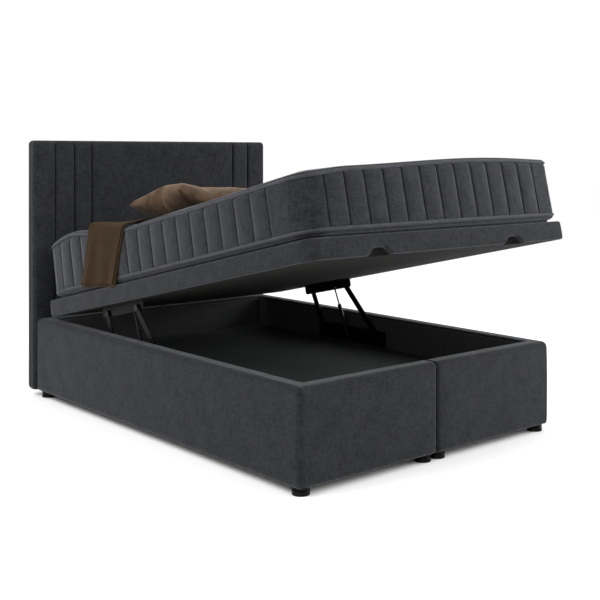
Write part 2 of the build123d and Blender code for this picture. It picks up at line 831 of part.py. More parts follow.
for side_name, side in sides.items():
    with BuildPart() as lid_rail:
        lid_outline(lid_skin, frame_rise, frame_corner_radius)
        inner_part = mirror_range(side, -lid_side, frame_side - lid_rail_width)
        lid_box(inner_part, (0, lid_length), frame_rise, Mode.SUBTRACT)
    save(lid_rail, f"lid_rail_{side_name}")

cross_x = frame_side - lid_rail_width
with BuildPart() as lid_rail_foot:
    lid_outline(lid_skin, frame_rise, frame_corner_radius)
    foot_part = (frame_along[1] - lid_rail_width, frame_along[1])
    lid_box((-cross_x, cross_x), foot_part, frame_rise, Mode.INTERSECT)
    cut_notches()
save(lid_rail_foot, "lid_rail_foot")

with BuildPart() as lid_rail_head:
    lid_outline(lid_skin, frame_rise, frame_corner_radius)
    head_part = (frame_along[0], frame_along[0] + lid_rail_width)
    lid_box((-cross_x, cross_x), head_part, frame_rise, Mode.INTERSECT)
save(lid_rail_head, "lid_rail_head")

with BuildPart() as lid_bearers:
    for along in bearer_alongs:
        along_range = (along - bearer_width / 2, along + bearer_width / 2)
        lid_box((-cross_x, cross_x), along_range, frame_rise)
    for side in sides.values():
        for along in bracket_screw_alongs:
            drilled = (frame_rise[0] - cut_overrun, bracket_screw_length + hole_clearance)
            x = side * bracket_screw_x
            lid_rod(x, along, drilled, bracket_screw_radius + hole_clearance, Mode.SUBTRACT)
save(lid_bearers, "lid_bearers")

with BuildPart() as lid_deck:
    lid_outline(lid_skin, deck_rise, frame_corner_radius)
save(lid_deck, "lid_deck")

with BuildPart() as lid_lining:
    lid_outline(lid_skin, (0, lid_lining_thickness), frame_corner_radius)
    cut_notches()
    for side in sides.values():
        for along in bracket_screw_alongs:
            x = side * bracket_screw_x
            drilled = (-cut_overrun, lid_lining_thickness + cut_overrun)
            lid_rod(x, along, drilled, bracket_screw_radius + hole_clearance, Mode.SUBTRACT)
save(lid_lining, "lid_lining")

with BuildPart() as lid_cover:
    lid_outline(0, (0, lid_height), lid_corner_radius)
    rims = lid_cover.faces().filter_by(Plane(origin=(0, 0, 0), z_dir=lid_normal))
    fillet(rims.edges(), band_edge_radius)
    lid_outline(lid_skin, (-cut_overrun, lid_height - lid_top_skin), frame_corner_radius, Mode.SUBTRACT)
    cut_notches()
save(lid_cover, "lid_cover")

# Mattress: a border sewn in channels between two taped edges, under a crowned top
mattress_head_margin = 10.0
mattress_foot_margin = 10.0
mattress_corner_radius = 100.0
mattress_tuck = 16.0
crown_run = 450.0
crown_corner_radius = 70.0
tape_heights = (28.0, 229.0)
tape_thickness = 8.0
tape_depth = 7.0
tape_proud = 1.0
tape_edge_radius = 3.0
channel_radius = 6.0
channel_depth = 5.0
channel_margin = 5.0
side_channel_pitch = 100.0
side_channel_start = 154.0
side_channel_count = 17
end_channel_pitch = 98.3
end_channel_count = 13
border_shares = (
    (0.0, 1.0),
    (0.04, 0.5),
    (0.12, 0.25),
    (0.3, 0.05),
    (0.52, 0.0),
    (0.75, 0.05),
    (0.92, 0.25),
    (0.965, 0.7),
    (1.0, 1.4),
)
crown_shares = ((0.12, 0.27), (0.3, 0.58), (0.6, 0.86), (1.0, 1.0))

mattress_width = bed_width
mattress_length = lid_length - mattress_head_margin - mattress_foot_margin
mattress_side = mattress_width / 2
mattress_centre_along = mattress_head_margin + mattress_length / 2
edge_inset = border_shares[-1][1] * mattress_tuck
border_sections = [
    (mattress_edge_height * height_share, mattress_tuck * tuck_share)
    for height_share, tuck_share in border_shares
]
crown_sections = [
    (
        mattress_edge_height + mattress_crown * rise_share,
        edge_inset + (crown_run - edge_inset) * run_share,
    )
    for run_share, rise_share in crown_shares
]


def mattress_outline(inset, radius):
    """The mattress's outline in plan, drawn in by an inset."""
    with Locations((0, -mattress_centre_along)):
        RectangleRounded(mattress_width - 2 * inset, mattress_length - 2 * inset, radius)


with BuildPart() as mattress_tapes:
    for height in tape_heights:
        tape_low = lid_level(lid_height + height - tape_thickness / 2)
        with BuildSketch(tape_low):
            mattress_outline(-tape_proud, mattress_corner_radius + tape_proud)
        extrude(amount=tape_thickness)
        fillet(mattress_tapes.faces(Select.LAST).filter_by(tape_low).edges(), tape_edge_radius)
        with BuildSketch(tape_low):
            inset = tape_depth - tape_proud
            mattress_outline(inset, mattress_corner_radius - inset)
        extrude(amount=tape_thickness, mode=Mode.SUBTRACT)
save(mattress_tapes, "mattress_tapes")

with BuildPart() as mattress:
    for height, inset in border_sections + crown_sections:
        with BuildSketch(lid_level(lid_height + height)) as section:
            mattress_outline(inset, max(mattress_corner_radius - inset, crown_corner_radius))
    loft(ruled=True)
    channel_rise = (
        lid_height + tape_heights[0] + tape_thickness / 2 + channel_margin,
        lid_height + tape_heights[1] - tape_thickness / 2 - channel_margin,
    )
    channel_out = channel_radius - channel_depth
    for side in sides.values():
        for count in range(side_channel_count):
            along = mattress_head_margin + side_channel_start + count * side_channel_pitch
            x = side * (mattress_side + channel_out)
            lid_rod(x, along, channel_rise, channel_radius, Mode.SUBTRACT)
        for count in range(end_channel_count):
            x = (count - (end_channel_count - 1) / 2) * end_channel_pitch
            along = mattress_centre_along + side * (mattress_length / 2 + channel_out)
            lid_rod(x, along, channel_rise, channel_radius, Mode.SUBTRACT)
    add(mattress_tapes.part, mode=Mode.SUBTRACT)
save(mattress, "mattress")


def mattress_top(inset):
    """How high the mattress stands above the lid's underside at an inset from its side."""
    sections = border_sections[-1:] + crown_sections
    for (low, near), (high, far) in zip(sections, sections[1:]):
        if inset <= far:
            return lid_height + low + (high - low) * (inset - near) / (far - near)
    return lid_height + sections[-1][0]


# Throw: a folded sheet over the left edge, hanging in soft waves down the border
throw_thickness = 8.0
throw_width = 290.0
throw_start = 346.0
throw_hem_rise = 100.0
throw_side_gap = 3.0
throw_edge_radius = 24.0
throw_reach = 300.0
throw_lean_angle = 26.3
throw_fold_depth = 13.0
throw_fold_shares = (0.1, 0.8, 0.25, 1.0, 0.3, 0.85, 0.15, 0.7, 0.3)

lean = radians(throw_lean_angle)
lean_up = (0, sin(open_angle) * cos(lean) - cos(open_angle) * sin(lean))
lean_up += (cos(open_angle) * cos(lean) + sin(open_angle) * sin(lean),)

with BuildPart() as throw:
    for count, fold_share in enumerate(throw_fold_shares):
        along = throw_start + throw_width * count / (len(throw_fold_shares) - 1)
        up = Vector(*lean_up)
        plane = Plane(
            origin=(0, *open_spot(along, 0)), x_dir=(1, 0, 0), z_dir=Vector(1, 0, 0).cross(up)
        )
        inner_side = -mattress_side - throw_side_gap
        edge_top = mattress_top(edge_inset) / cos(lean) + soft_gap
        arc_centre = (inner_side + throw_edge_radius, edge_top - throw_edge_radius)
        hem = throw_hem_rise / cos(lean)
        fold = throw_fold_depth * fold_share
        insets = [near for height, near in crown_sections if near < throw_reach] + [throw_reach]
        faces = []
        for skin in (0, throw_thickness):
            radius = throw_edge_radius + skin
            diagonal = radius / sqrt(2)
            side_point = (arc_centre[0] - radius, arc_centre[1])
            arc_point = (arc_centre[0] - diagonal, arc_centre[1] + diagonal)
            top_point = (arc_centre[0], arc_centre[1] + radius)
            run = [
                (inset - mattress_side, mattress_top(inset) / cos(lean) + soft_gap + skin)
                for inset in insets
            ]
            faces.append(((side_point[0] - fold, hem), side_point, arc_point, top_point, run))
        with BuildSketch(plane) as section:
            with BuildLine():
                for low_point, side_point, arc_point, top_point, run in faces:
                    Line(low_point, side_point)
                    ThreePointArc(side_point, arc_point, top_point)
                    Polyline(top_point, *run)
                Line(faces[0][0], faces[1][0])
                Line(faces[0][4][-1], faces[1][4][-1])
            make_face()
    loft(ruled=True)
save(throw, "throw")

# Pillow: thin at its seams and corners, with its sides drawn in between them
pillow_length = 720.0
pillow_corner_depth = 450.0
pillow_top = 100.0
pillow_belly = 58.0
pillow_x = -150.0
pillow_along = 720.0
pillow_shares = (
    (-1.0, 1.0, 0.05),
    (-0.88, 0.945, 0.4),
    (-0.62, 0.88, 0.78),
    (-0.3, 0.85, 0.96),
    (0.0, 0.845, 1.0),
    (0.3, 0.85, 0.96),
    (0.62, 0.88, 0.78),
    (0.88, 0.945, 0.4),
    (1.0, 1.0, 0.05),
)

seam_rise = mattress_top(crown_run) + pillow_belly + soft_gap

with BuildPart() as pillow:
    for place_share, depth_share, swell_share in pillow_shares:
        x = pillow_x + place_share * pillow_length / 2
        centre = (x, *open_spot(pillow_along, seam_rise))
        plane = Plane(origin=centre, x_dir=(0, cos(open_angle), -sin(open_angle)), z_dir=(1, 0, 0))
        half = depth_share * pillow_corner_depth / 2
        top = pillow_top * swell_share
        belly = pillow_belly * swell_share
        with BuildSketch(plane) as section:
            with BuildLine():
                ThreePointArc((-half, 0), (0, top), (half, 0))
                ThreePointArc((half, 0), (0, -belly), (-half, 0))
            make_face()
    loft()
save(pillow, "pillow")
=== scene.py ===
import json
from math import cos, pi, radians, sin

import bpy
import bmesh
import numpy as np
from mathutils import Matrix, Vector


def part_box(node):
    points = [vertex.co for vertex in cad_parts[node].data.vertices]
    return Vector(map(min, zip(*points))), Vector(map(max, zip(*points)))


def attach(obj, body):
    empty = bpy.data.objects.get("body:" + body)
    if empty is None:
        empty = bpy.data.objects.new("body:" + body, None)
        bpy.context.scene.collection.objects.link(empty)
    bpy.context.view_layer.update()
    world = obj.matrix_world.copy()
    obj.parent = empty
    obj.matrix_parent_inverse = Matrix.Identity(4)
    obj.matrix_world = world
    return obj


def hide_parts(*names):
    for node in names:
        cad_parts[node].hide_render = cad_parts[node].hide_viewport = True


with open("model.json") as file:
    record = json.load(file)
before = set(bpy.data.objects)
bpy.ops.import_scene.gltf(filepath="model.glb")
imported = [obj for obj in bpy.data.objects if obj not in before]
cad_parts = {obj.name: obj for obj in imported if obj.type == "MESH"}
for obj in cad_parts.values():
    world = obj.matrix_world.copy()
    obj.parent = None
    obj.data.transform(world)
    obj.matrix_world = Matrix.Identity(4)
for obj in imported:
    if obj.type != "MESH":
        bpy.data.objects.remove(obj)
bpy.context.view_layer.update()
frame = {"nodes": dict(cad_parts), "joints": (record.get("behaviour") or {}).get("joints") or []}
nodes = frame["nodes"]
scene = bpy.context.scene
mm = 0.001  # sizes below are in millimetres times this
clearance = 0.3 * mm  # kept between a soft piece and the solid beside it
print("frame loaded:", len(nodes), "nodes")


# camera: level, turned towards the near foot corner, with the lens shifted down
cameraLook = {
    "place": (-3.0168, -3.7503, 1.1937),
    "turn": 40.03,
    "lens": 62.70,
    "shift": (0.0023, -0.2450),
}
camera = bpy.data.objects.new("camera", bpy.data.cameras.new("camera"))
camera.data.lens = cameraLook["lens"]
camera.data.shift_x, camera.data.shift_y = cameraLook["shift"]
camera.location = cameraLook["place"]
camera.rotation_euler = (pi / 2, 0, -radians(cameraLook["turn"]))
scene.collection.objects.link(camera)
scene.camera = camera

# light: a bright even room with a soft box high on the left and a lower one on the right
lightLook = {
    "room": 1.03,
    "left": {"place": (-3.9, -0.1, 4.0), "size": 3.0, "watts": 164},
    "right": {"place": (5.0, -3.4, 2.2), "size": 2.2, "watts": 270},
    "aim": (0, 0, 0.5),
}
world = bpy.data.worlds.new("room")
world.use_nodes = True
world.node_tree.nodes["Background"].inputs["Color"].default_value = (1, 1, 1, 1)
world.node_tree.nodes["Background"].inputs["Strength"].default_value = lightLook["room"]
scene.world = world
for lightName in ("left", "right"):
    look = lightLook[lightName]
    lamp = bpy.data.lights.new(lightName, "AREA")
    lamp.size = look["size"]
    lamp.energy = look["watts"]
    lampObject = bpy.data.objects.new(lightName, lamp)
    lampObject.location = look["place"]
    toward = Vector(lightLook["aim"]) - Vector(look["place"])
    lampObject.rotation_euler = toward.to_track_quat("-Z", "Y").to_euler()
    scene.collection.objects.link(lampObject)
scene.view_settings.view_transform = "Standard"


# materials
def hexColour(text):
    channels = [int(text[place:place + 2], 16) / 255 for place in (1, 3, 5)]
    linear = [c / 12.92 if c <= 0.04045 else ((c + 0.055) / 1.055) ** 2.4 for c in channels]
    return (*linear, 1.0)


def addNode(tree, kind, inputs=None, out=0, **settings):
    # a node with its inputs set or linked; gives back the output that is asked for
    node = tree.nodes.new(kind)
    for key, value in settings.items():
        setattr(node, key, value)
    for key, value in (inputs or {}).items():
        if isinstance(value, bpy.types.NodeSocket):
            tree.links.new(value, node.inputs[key])
        else:
            node.inputs[key].default_value = value
    return node.outputs[out] if len(node.outputs) else node


def newMaterial(name):
    material = bpy.data.materials.new(name)
    material.use_nodes = True
    tree = material.node_tree
    tree.nodes.clear()
    return material, tree, addNode(tree, "ShaderNodeTexCoord", out="Object")


def addSurface(tree, share, tones, height, distance, relief, shading):
    # two tones mixed by a share, relief as a bump, and the shader over both
    first, second = (hexColour(tone) for tone in tones)
    colour = addNode(
        tree, "ShaderNodeMix", {0: share, 6: first, 7: second}, out=2, data_type="RGBA"
    )
    bump = addNode(
        tree, "ShaderNodeBump", {"Strength": relief, "Distance": distance, "Height": height}
    )
    shader = addNode(
        tree, "ShaderNodeBsdfPrincipled", {"Base Color": colour, "Normal": bump, **shading}
    )
    addNode(tree, "ShaderNodeOutputMaterial", {"Surface": shader})


def clothMaterial(name, look):
    # pile colour in clouds and streaks, a woven ground in the bump, and sheen on turned-away pile
    material, tree, place = newMaterial(name)
    turned = addNode(
        tree, "ShaderNodeMapping", {"Vector": place, "Rotation": (look["tilt"], 0, 0)}
    )
    cloud = addNode(
        tree, "ShaderNodeTexNoise", {"Vector": turned, "Scale": 1 / look["cloud"], "Detail": 4}
    )
    marks = 0.0  # streaks along the height, and others along the level
    for scale in ((1, 1, look["stretch"]), (look["stretch"], look["stretch"], 1)):
        drawn = addNode(tree, "ShaderNodeMapping", {"Vector": turned, "Scale": scale})
        streaks = addNode(
            tree, "ShaderNodeTexNoise", {"Vector": drawn, "Scale": 1 / look["streak"], "Detail": 3}
        )
        marks = addNode(tree, "ShaderNodeMath", {0: marks, 1: streaks}, operation="ADD")
    patches = addNode(
        tree, "ShaderNodeMath", {0: cloud, 1: look["cloudShare"]}, operation="MULTIPLY"
    )
    depth = addNode(
        tree, "ShaderNodeMath", {0: marks, 1: look["streakShare"], 2: patches},
        operation="MULTIPLY_ADD",
    )
    middle = 0.5 * look["cloudShare"] + look["streakShare"]
    low, high = middle - look["contrast"], middle + look["contrast"]
    pile = addNode(
        tree, "ShaderNodeMapRange", {"Value": depth, "From Min": low, "From Max": high}
    )
    weave = 0.0
    for direction in "XYZ":
        threads = addNode(
            tree, "ShaderNodeTexWave",
            {"Vector": turned, "Scale": pi / 10 / look["thread"], "Distortion": 1.5, "Detail": 1},
            out=1, bands_direction=direction,
        )
        weave = addNode(tree, "ShaderNodeMath", {0: weave, 1: threads}, operation="ADD")
    ground = addNode(
        tree, "ShaderNodeMath", {0: weave, 1: 0.3, 2: marks}, operation="MULTIPLY_ADD"
    )
    addSurface(tree, pile, (look["dark"], look["light"]), ground, 1 * mm, look["relief"], {
        "Roughness": look["roughness"],
        "Specular IOR Level": look["specular"],
        "Sheen Weight": look["sheen"],
        "Sheen Roughness": look["sheenRoughness"],
        "Sheen Tint": hexColour(look["sheenTint"]),
    })
    return material


def metalMaterial(name, look):
    # a fine orange-peel or drawn surface, a little uneven in gloss, with rubbed places lighter
    material, tree, place = newMaterial(name)
    grain, rub = (
        addNode(tree, "ShaderNodeTexNoise", {"Vector": place, "Scale": 1 / size, "Detail": detail})
        for size, detail in ((look["grain"], 3), (look["rub"], 5))
    )
    worn = addNode(tree, "ShaderNodeMapRange", {"Value": rub, "From Min": 0.5, "From Max": 0.75})
    least, most = look["roughness"] - 0.07, look["roughness"] + 0.07
    gloss = addNode(tree, "ShaderNodeMapRange", {"Value": rub, "To Min": least, "To Max": most})
    addSurface(tree, worn, (look["colour"], look["worn"]), grain, 0.3 * mm, look["relief"], {
        "Roughness": gloss,
        "Metallic": look["metallic"],
        "Specular IOR Level": look["specular"],
    })
    return material


def timberMaterial(name, look):
    # long grain drawn by a stretched noise, with a fine sawn roughness
    material, tree, place = newMaterial(name)
    drawn = addNode(tree, "ShaderNodeMapping", {"Vector": place, "Scale": look["stretch"]})
    grain = addNode(
        tree, "ShaderNodeTexNoise",
        {"Vector": drawn, "Scale": 1 / look["grain"], "Detail": 6, "Distortion": look["swirl"]},
    )
    addSurface(
        tree, grain, (look["dark"], look["light"]), grain, 0.4 * mm, look["relief"],
        {"Roughness": look["roughness"]},
    )
    return material


# what most cloths share; tilt turns the pattern with the raised lid
clothCommon = {
    "tilt": 0, "cloudShare": 0.4, "streakShare": 0.6, "contrast": 0.26, "roughness": 0.85,
    "specular": 0.12, "sheenRoughness": 0.32,
}
clothLooks = {
    # chenille: short cut pile, brushed; matt face on, lighter where it turns away
    "brushedChenille": {
        "dark": "#151618", "light": "#2b2c2f", "cloud": 70 * mm, "streak": 9 * mm, "stretch": 0.28,
        "thread": 2.6 * mm, "relief": 0.8, "sheen": 0.5, "sheenTint": "#b0b2b8",
    },
    # knitted ticking: brushed knit, a touch smoother than the base's cloth
    "brushedTicking": {
        "dark": "#131416", "light": "#2e2f32", "cloud": 45 * mm, "streak": 7 * mm, "stretch": 0.25,
        "thread": 1.8 * mm, "relief": 0.7, "sheen": 0.76, "sheenTint": "#b4b6bc",
    },
    # edge tape: woven band, closer and slightly shinier than the ticking
    "wovenTape": {
        "dark": "#232427", "light": "#424347", "cloud": 60 * mm, "streak": 4 * mm, "stretch": 0.4,
        "cloudShare": 0.5, "streakShare": 0.4, "contrast": 0.25, "thread": 1.2 * mm,
        "relief": 0.4, "roughness": 0.75, "specular": 0.2, "sheen": 0.55, "sheenRoughness": 0.3,
        "sheenTint": "#bcbec4",
    },
    # cotton velvet: brown, pile lying in patches that catch the light
    "cottonVelvet": {
        "dark": "#33261b", "light": "#5e4c3c", "cloud": 40 * mm, "streak": 9 * mm, "stretch": 0.6,
        "cloudShare": 1.0, "streakShare": 0.3, "contrast": 0.34, "thread": 1.4 * mm,
        "relief": 0.4, "sheen": 0.5, "sheenRoughness": 0.35, "sheenTint": "#b8a698",
    },
    # sewing thread: spun polyester, dull, a shade lighter than the cloth
    "spunThread": {
        "dark": "#2a2b2e", "light": "#47484c", "cloud": 20 * mm, "streak": 2 * mm, "stretch": 0.5,
        "cloudShare": 0.5, "streakShare": 0.5, "contrast": 0.3, "thread": 0.8 * mm,
        "relief": 0.3, "roughness": 0.7, "specular": 0.2, "sheen": 0.3, "sheenRoughness": 0.3,
        "sheenTint": "#b8bac0",
    },
    # throw: soft twill, brushed, dark brown, matt
    "brushedTwill": {
        "dark": "#1d130a", "light": "#332413", "cloud": 60 * mm, "streak": 7 * mm, "stretch": 0.2,
        "cloudShare": 0.6, "streakShare": 0.5, "contrast": 0.35, "thread": 1.6 * mm,
        "relief": 0.5, "roughness": 0.9, "specular": 0.1, "sheen": 0.22, "sheenRoughness": 0.4,
        "sheenTint": "#98866c",
    },
    # non-woven lining of the storage space: pressed fibre, matt, its black painted lighter as painted
    # light in the shade
    "pressedLining": {
        "dark": "#303331", "light": "#3d3f3c", "cloud": 30 * mm, "streak": 6 * mm, "stretch": 0.9,
        "cloudShare": 1.0, "streakShare": 0.5, "contrast": 0.4, "thread": 1.5 * mm,
        "relief": 0.3, "roughness": 0.9, "specular": 0.1, "sheen": 0.05, "sheenRoughness": 0.5,
        "sheenTint": "#504c48",
    },
}
# under-cloth of the lid and the base: the same pressed fibre at its own deeper black, without the
# lining's painted light
clothLooks["pressedUnderCloth"] = {
    **clothLooks["pressedLining"], "dark": "#121312", "light": "#1c1d1b", "specular": 0.15,
}
metalLooks = {
    # powder-coated steel: satin black with a fine orange peel
    "powderCoatedSteel": {
        "colour": "#070707", "worn": "#0d0d0e", "grain": 1.2 * mm, "rub": 40 * mm,
        "roughness": 0.36, "metallic": 0.0, "relief": 0.25, "specular": 0.07,
    },
    # strut tube: gloss black paint over drawn steel
    "glossPaintedTube": {
        "colour": "#070707", "worn": "#0e0e0f", "grain": 3 * mm, "rub": 60 * mm,
        "roughness": 0.2, "metallic": 0.0, "relief": 0.05, "specular": 0.16,
    },
    # strut rod: ground steel, nitrided nearly black, with a hard shine
    "nitridedRod": {
        "colour": "#2c2c2e", "worn": "#3c3c3e", "grain": 1.0 * mm, "rub": 30 * mm,
        "roughness": 0.2, "metallic": 1.0, "relief": 0.04, "specular": 0.5,
    },
    # screws and connectors: bright zinc plate, slightly clouded
    "zincPlatedSteel": {
        "colour": "#8f9092", "worn": "#a9a9a6", "grain": 0.9 * mm, "rub": 8 * mm,
        "roughness": 0.35, "metallic": 1.0, "relief": 0.15, "specular": 0.5,
    },
    # pins: black zinc plate, rubbed bright in places
    "blackZincSteel": {
        "colour": "#1c1c1e", "worn": "#38383a", "grain": 0.9 * mm, "rub": 12 * mm,
        "roughness": 0.32, "metallic": 0.8, "relief": 0.12, "specular": 0.5,
    },
    # glides: turned black plastic with a faint tool mark
    "turnedPlastic": {
        "colour": "#060606", "worn": "#0d0d0d", "grain": 1.5 * mm, "rub": 25 * mm,
        "roughness": 0.25, "metallic": 0.0, "relief": 0.1, "specular": 0.1,
    },
    # storage floor: black laminate on hardboard, with a leathery press grain, its black painted lighter
    # as painted light in the shade
    "blackLaminate": {
        "colour": "#363a38", "worn": "#404441", "grain": 4 * mm, "rub": 90 * mm,
        "roughness": 0.6, "metallic": 0.0, "relief": 0.35, "specular": 0.08,
    },
}
timberLooks = {
    # planed softwood: pale, long grain along the bed
    "planedPine": {
        "dark": "#9c7648", "light": "#cfae7c", "grain": 9 * mm, "stretch": (1, 0.06, 1),
        "swirl": 1.2, "relief": 0.2, "roughness": 0.6,
    },
    # sawn softwood across the bed
    "planedPineAcross": {
        "dark": "#9a7446", "light": "#ccaa78", "grain": 9 * mm, "stretch": (0.06, 1, 1),
        "swirl": 1.2, "relief": 0.2, "roughness": 0.62,
    },
    # pressed chipboard: short flakes
    "pressedChipboard": {
        "dark": "#8d7048", "light": "#c6a878", "grain": 5 * mm, "stretch": (1, 1, 1),
        "swirl": 0.3, "relief": 0.25, "roughness": 0.7,
    },
}

# how far the lid is turned up from the level while it rests open
swings = {joint["name"]: joint["range_deg"] for joint in frame["joints"] if "range_deg" in joint}
lidTilt = radians(swings["rear_arm_swing"][0] + swings["lid_swing"][1])

finishes = {
    name: clothMaterial(name, {**clothCommon, **look}) for name, look in clothLooks.items()
}
for name in ("brushedChenille", "brushedTicking", "wovenTape"):
    look = {**clothCommon, **clothLooks[name], "tilt": lidTilt}
    finishes[name + "Lid"] = clothMaterial(name + "Lid", look)
finishes |= {name: metalMaterial(name, look) for name, look in metalLooks.items()}
finishes |= {name: timberMaterial(name, look) for name, look in timberLooks.items()}

nodeFinishes = {
    "powderCoatedSteel": ("base_rail", "rear_arm", "front_arm", "lid_bracket"),
    "glossPaintedTube": ("strut_cylinder",),
    "nitridedRod": ("strut_rod",),
    "zincPlatedSteel": ("half_connectors", "glide_bolts", "headboard_bolts"),
    "blackZincSteel": ("lower_pins", "upper_pins", "rail_screws", "bracket_screws"),
    "turnedPlastic": ("glides",),
    # the storage floor's laminate is painted lighter, as painted light in its shade
    "blackLaminate": ("storage_floor",),
    "pressedUnderCloth": ("lid_rail_foot",),
    "planedPine": (
        "lid_rail_left", "lid_rail_right", "middle_rail", "floor_bearers", "corner_blocks",
    ),
    "planedPineAcross": ("lid_rail_head", "lid_bearers"),
    "pressedChipboard": (
        "side_panel", "foot_panel", "head_panel", "headboard_board", "lid_deck",
    ),
}
for finishName, starts in nodeFinishes.items():
    for nodeName, node in nodes.items():
        if nodeName.startswith(starts):
            node.data.materials.clear()
            node.data.materials.append(finishes[finishName])
print("materials ready")


# the raised lid's own frame: X across, Y towards the head, Z square to the lid, from its head edge
towardsHead = Vector((0, cos(lidTilt), -sin(lidTilt)))
lidUp = Vector((0, sin(lidTilt), cos(lidTilt)))
coverPoints = [vertex.co for vertex in nodes["lid_cover"].data.vertices]
headReach = max(point.dot(towardsHead) for point in coverPoints)
lowestRise = min(point.dot(lidUp) for point in coverPoints)
lidTurn = np.array([(1, 0, 0), towardsHead, lidUp]).T
lidOrigin = np.array(towardsHead * headReach + lidUp * lowestRise)


def fromLid(points):
    return np.asarray(points) @ lidTurn.T + lidOrigin


def lidBox(name):
    # a node's box in the lid's frame: its low and high corner, half its size, and its middle in Y
    points = np.array([vertex.co for vertex in nodes[name].data.vertices])
    local = (points - lidOrigin) @ lidTurn
    low, high = local.min(0), local.max(0)
    return low, high, (high - low) / 2, (low[1] + high[1]) / 2


# mesh helpers
def gridFaces(rows, columns, closeRows=False, closeColumns=True):
    faces = []
    for row in range(rows if closeRows else rows - 1):
        upper = (row + 1) % rows
        for column in range(columns if closeColumns else columns - 1):
            side = (column + 1) % columns
            faces.append((
                row * columns + column, row * columns + side,
                upper * columns + side, upper * columns + column,
            ))
    return faces


def shellFaces(rings):
    # a closed shell: the rings joined, and the first and the last one filled
    rows, columns = len(rings), len(rings[0])
    first = list(range(columns))[::-1]
    last = [(rows - 1) * columns + column for column in range(columns)]
    return gridFaces(rows, columns) + [first, last]


def makePiece(name, points, faces, finish, closed=True):
    mesh = bpy.data.meshes.new(name)
    mesh.from_pydata(np.asarray(points).reshape(-1, 3).tolist(), [], faces)
    if closed:
        tidyMesh(mesh)
    mesh.polygons.foreach_set("use_smooth", [True] * len(mesh.polygons))
    mesh.materials.append(finishes[finish])
    piece = bpy.data.objects.new(name, mesh)
    scene.collection.objects.link(piece)
    return piece


def tidyMesh(mesh, weldWithin=0):
    # faces turned outward, and points that lie on each other made one
    work = bmesh.new()
    work.from_mesh(mesh)
    if weldWithin:
        bmesh.ops.remove_doubles(work, verts=work.verts, dist=weldWithin)
    bmesh.ops.recalc_face_normals(work, faces=work.faces)
    work.to_mesh(mesh)
    work.free()


def settlePiece(piece, body, nodeName):
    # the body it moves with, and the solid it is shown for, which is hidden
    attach(piece, body)
    if nodeName:
        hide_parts(nodeName)


def applyModifiers(piece):
    shown = piece.evaluated_get(bpy.context.evaluated_depsgraph_get())
    finished = bpy.data.meshes.new_from_object(shown)
    piece.modifiers.clear()
    piece.data = finished


def ripple(points, wave, seed):
    # gentle unevenness between -1 and 1, from five slow waves in different directions
    total = np.zeros(points.shape[:-1])
    for count in range(5):
        turn = seed + 1.9 * count
        direction = np.array([sin(turn), cos(1.7 * turn), sin(0.6 * turn + 1)])
        total += np.sin(points @ direction * 2 * pi / wave * (0.6 + 0.3 * count) + 2.3 * turn)
    return total / 5


def arc(centreA, centreB, radius, start, end, steps):
    angles = np.radians(np.linspace(start, end, steps + 1))
    return [(centreA + radius * cos(a), centreB + radius * sin(a), cos(a), sin(a)) for a in angles]


def rectangleStations(halfX, halfY, radius, placesX, placesY, cornerSteps, footRight=None):
    # where an outline's columns stand: a spot on the inner rectangle and an outward direction
    coreX, coreY = halfX - radius, halfY - radius
    spots, ways = [], []
    sides = [
        (placesY, (coreX, None), (1, 0)), (placesX[::-1], (None, coreY), (0, 1)),
        (placesY[::-1], (-coreX, None), (-1, 0)), (placesX, (None, -coreY), (0, -1)),
    ]
    corners = [(coreX, coreY), (-coreX, coreY), (-coreX, -coreY), (coreX, -coreY)]
    for number, ((places, fixed, way), corner) in enumerate(zip(sides, corners)):
        for place in places:
            spots.append([place if value is None else value for value in fixed])
            ways.append(way)
        for angle in np.radians(90 * number + np.linspace(0, 90, cornerSteps + 1)):
            spots.append(corner)
            ways.append((cos(angle), sin(angle)))
    spots, ways = np.array(spots), np.array(ways, float)
    # the foot end's right corner may be tighter than the others
    near = 1e-9
    atCorner = (ways[:, 0] >= -near) & (ways[:, 1] <= near)
    atCorner &= (spots[:, 0] > coreX - near) & (spots[:, 1] < -coreY + near)
    tighter = radius - (footRight or radius)
    return {
        "spots": spots, "ways": ways, "half": np.array([halfX, halfY]), "radius": radius,
        "sharpen": tighter * (np.array([1, -1]) - ways) * atCorner[:, None],
    }


def outlineRing(stations, inset, least=1 * mm):
    # the outline drawn in by an inset, which may differ from column to column
    inset = np.broadcast_to(np.asarray(inset, float), (len(stations["spots"]),))
    radius = np.maximum(stations["radius"] - inset, least)
    core = stations["half"][None, :] - (inset + radius)[:, None]
    scale = core / (stations["half"] - stations["radius"])[None, :]
    sharpen = stations["sharpen"] * (radius / stations["radius"])[:, None]
    return stations["spots"] * scale + stations["ways"] * radius[:, None] + sharpen


def levelRing(stations, inset, centreY, height, least=1 * mm):
    # the same outline as points at one height of the lid's frame
    ring = outlineRing(stations, inset, least)
    return np.stack([ring[:, 0], ring[:, 1] + centreY, np.full(len(ring), height)], -1)


def edgeArc(edge, far=None):
    # a quarter round of a section as (depth, height): at the low edge, or under a far height
    angles = np.radians(np.linspace(0, 90, 5))
    if far is None:
        return [(edge - edge * sin(a), edge - edge * cos(a)) for a in angles]
    return [(edge - edge * cos(a), far - edge + edge * sin(a)) for a in angles]


# base covers: fabric over foam on the outer walls of each half, folded over the rim
baseCover = {
    "footRadius": 18 * mm, "headRadius": 6 * mm, "splitRadius": 16 * mm, "rimRadius": 24 * mm,
    "lipRadius": 14 * mm, "lowRadius": 12 * mm, "padding": 13.7 * mm, "swell": 2.6 * mm,
    "waver": 0.9 * mm, "step": 14 * mm, "waves": (260 * mm, 70 * mm, 110 * mm),
    "splitFade": 60 * mm, "headFade": 40 * mm, "wallRows": 24, "rimRows": 7,
}


